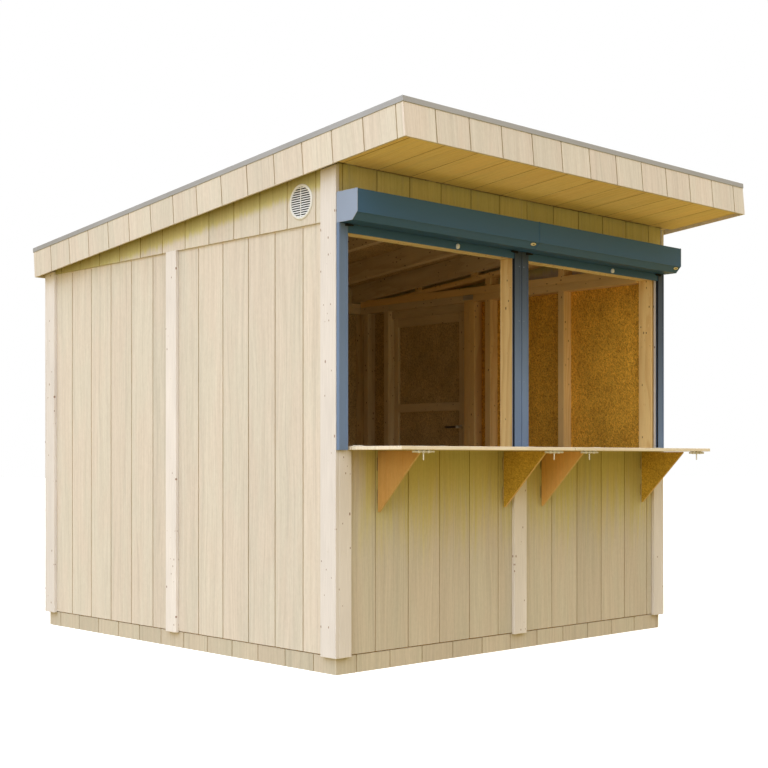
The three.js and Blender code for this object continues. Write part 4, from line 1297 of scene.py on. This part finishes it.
def build_barrel_bolts():
    """Bolts under the front edge of the counter, their pins hanging while it is down."""
    y, under = -337, LEAF[2][0]
    rod, reach = under - 8, 65
    for side, places in (("left", (205, 1067)), ("right", (1332, 2241))):
        bolt = Shape("zinc")
        for x in places:
            bolt.board(about(x, 44), about(y, 11), [under - 1.8, under - 0.2], "x", 0.4)
            bolt.rod((x - reach, y, rod), (x + reach, y, rod), 5, 16, 1.2)
            for strap in (-30, 0, 30):
                bolt.board(about(x + strap, 6), about(y, 6.5), [under - 14.5, under - 1.6], "y", 1.6)
            bolt.rod((x, y, under - 12), (x, y, under - 45), 3.2, 14, 1.4)
            for end in (-39, 39):
                bolt.screw((x + end, y, under - 1.8), (0, 0, -1), 3.4)
        bolt.build(f"barrel_bolts_{side}", "zinc_steel", body=f"counter_leaf_{side}")


def knuckles(one, other, start, end, axis, radius):
    """A hinge barrel in five parts along one axis, held by the two halves by turns."""
    k = "xyz".index(axis)
    length = (end[k] - start[k]) / 5
    for shape, parts in ((one, (0, 2, 4)), (other, (1, 3))):
        for part in parts:
            low, high = list(start), list(end)
            low[k] = start[k] + part * length + 0.3
            high[k] = start[k] + (part + 1) * length - 0.3
            shape.rod(low, high, radius, 14, 0.6)


def build_bracket_hinges():
    """Two small butt hinges behind each bracket, one leaf on its back edge, one on the wall."""
    wall = Shape("hinge")
    heights = ([748, 808], [892, 952])
    for number in range(1, 5):
        x = spans(f"counter_bracket_{number}")[0]
        swing = Shape("hinge")
        pin = x[1] + 1 if number % 2 else x[0] - 1
        for z in heights:
            knuckles(swing, wall, (pin, 10, z[0]), (pin, 10, z[1]), "z", 2.6)
            swing.board(x, [9.1, 10.4], z, "z", 0.3)
            wall.board(x, [FACE - 1.6, FACE - 0.2], z, "z", 0.3)
            wall.board(about(pin, 0.7), [10, FACE - GAP], [z[0] + 13, z[1] - 13], "z", 0.2)
        swing.build(f"bracket_hinges_{number}", "zinc_steel", body=f"counter_bracket_{number}")
    wall.build("bracket_hinge_leaves", "zinc_steel")


def build_counter_hinges():
    """Three butt hinges on top of each leaf, between it and the sill."""
    sill = Shape("zinc")
    top = SILL[2][1]
    plate_z = [top + 0.2, top + 1.4]
    pin_y, leaf_screws, sill_screws = -28.5, -48, -12
    for side in ("left", "right"):
        x = spans(f"counter_leaf_{side}")[0]
        leaf = Shape("zinc")
        for centre in (x[0] + 39, middle(x), x[1] - 39):
            span = about(centre, 29)
            knuckles(leaf, sill, (span[0], pin_y, top + 3), (span[1], pin_y, top + 3), "x", 2.3)
            leaf.board(span, [-60, -30], plate_z, "x", 0.3)
            sill.board(span, [-27, -1], plate_z, "x", 0.3)
            for at in about(centre, 18):
                leaf.screw((at, leaf_screws, plate_z[1]), (0, 0, 1), 3)
                sill.screw((at, sill_screws, plate_z[1]), (0, 0, 1), 3)
        leaf.build(f"counter_hinges_{side}", "zinc_steel", body=f"counter_leaf_{side}")
    sill.build("counter_hinge_leaves", "zinc_steel")


def build_door_hinges():
    """Three butt hinges outside, on the door's edge trim and the casing."""
    casing, door = Shape("zinc"), Shape("zinc")
    pin, heights, half = (WIDTH + 6, DOORWAY[1] - 2.5), (320, 1010, 1690), 50
    for z in heights:
        knuckles(door, casing, (*pin, z - half), (*pin, z + half), "z", 4.6)
        for shape, out, parts in ((door, -1, ((-50, -31), (31, 50))), (casing, 1, ((-10, 10),))):
            along = sorted([pin[1] + 3 * out, pin[1] + 46 * out])
            shape.board([WIDTH + 0.2, WIDTH + 2.2], along, about(z, half), "z", 0.5)
            web = sorted([pin[1] + 4 * out, pin[1]])
            for low, high in parts:
                shape.board([WIDTH + 1, WIDTH + 4], web, [z + low, z + high], "z", 0.3)
            for height in (z - 34, z, z + 34):
                shape.screw((WIDTH + 2.2, pin[1] + 30.36 * out, height), (1, 0, 0), 4)
    door.build("door_hinges", "zinc_steel", body="side_door")
    casing.build("door_hinge_leaves", "zinc_steel")


def build_nails():
    """Nail heads in the trim boards, and the nail plate on the rail inside the right wall."""
    nails = Shape("zinc")
    head = [(2.6, -0.5), (2.6, 0.25), (2.0, 0.5), (0.4, 0.5)]

    def row(x, y, heights, outward):
        for height in heights:
            nails.lathe(head, aimed((x, y, height), outward), 10)

    corner = (140, 540, 940, 1340, 1740, 2080)
    from_front, from_back, from_side = 52, 62, 46
    for x, out in ((0, -1), (WIDTH, 1)):
        for y in (from_front, DEPTH - from_back):
            row(x, y, corner, (out, 0, 0))
    for x in within([0, WIDTH], from_side):
        row(x, 0, corner[:3], (0, -1, 0))
        row(x, DEPTH, corner[:5], (0, 1, 0))
    for name, end in (("left_batten", 0), ("right_batten", 1)):
        x, y, _ = spans(name)
        row(x[end], middle(y), (150, 550, 950, 1350, 1750), (2 * end - 1, 0, 0))
    across = (("front_batten", 0, (150, 520, 900)), ("back_batten", 1, (150, 650, 1150, 1650)))
    for name, end, heights in across:
        x, y, _ = spans(name)
        row(middle(x), y[end], heights, (0, 2 * end - 1, 0))
    x, y, _ = spans("door_casing")
    for height in (150, 620, 1090, 1560, 1850):
        for at in within(y, from_side):
            row(x[1], at, [height], (1, 0, 0))

    face = WIDTH - SIDE_IN
    plate_y, plate_z = [1386, 1473], [1950, 1981]
    nails.board([face - 1.2, face - 0.1], plate_y, plate_z, "y", 0.3)
    for i in range(8):
        tooth = [plate_y[0] + 6 + i * 10, plate_y[0] + 11 + i * 10]
        for z in (1956, 1965, 1974):
            nails.board([face - 1.8, face - 1], tooth, about(z, 1), "y", 0.2)
    nails.build("trim_nails", "zinc_steel")


build_stage()
build_roof()
build_base()
build_walls()
build_trim()
build_shutters()
build_counter()
build_door()
build_vent()
build_fittings()
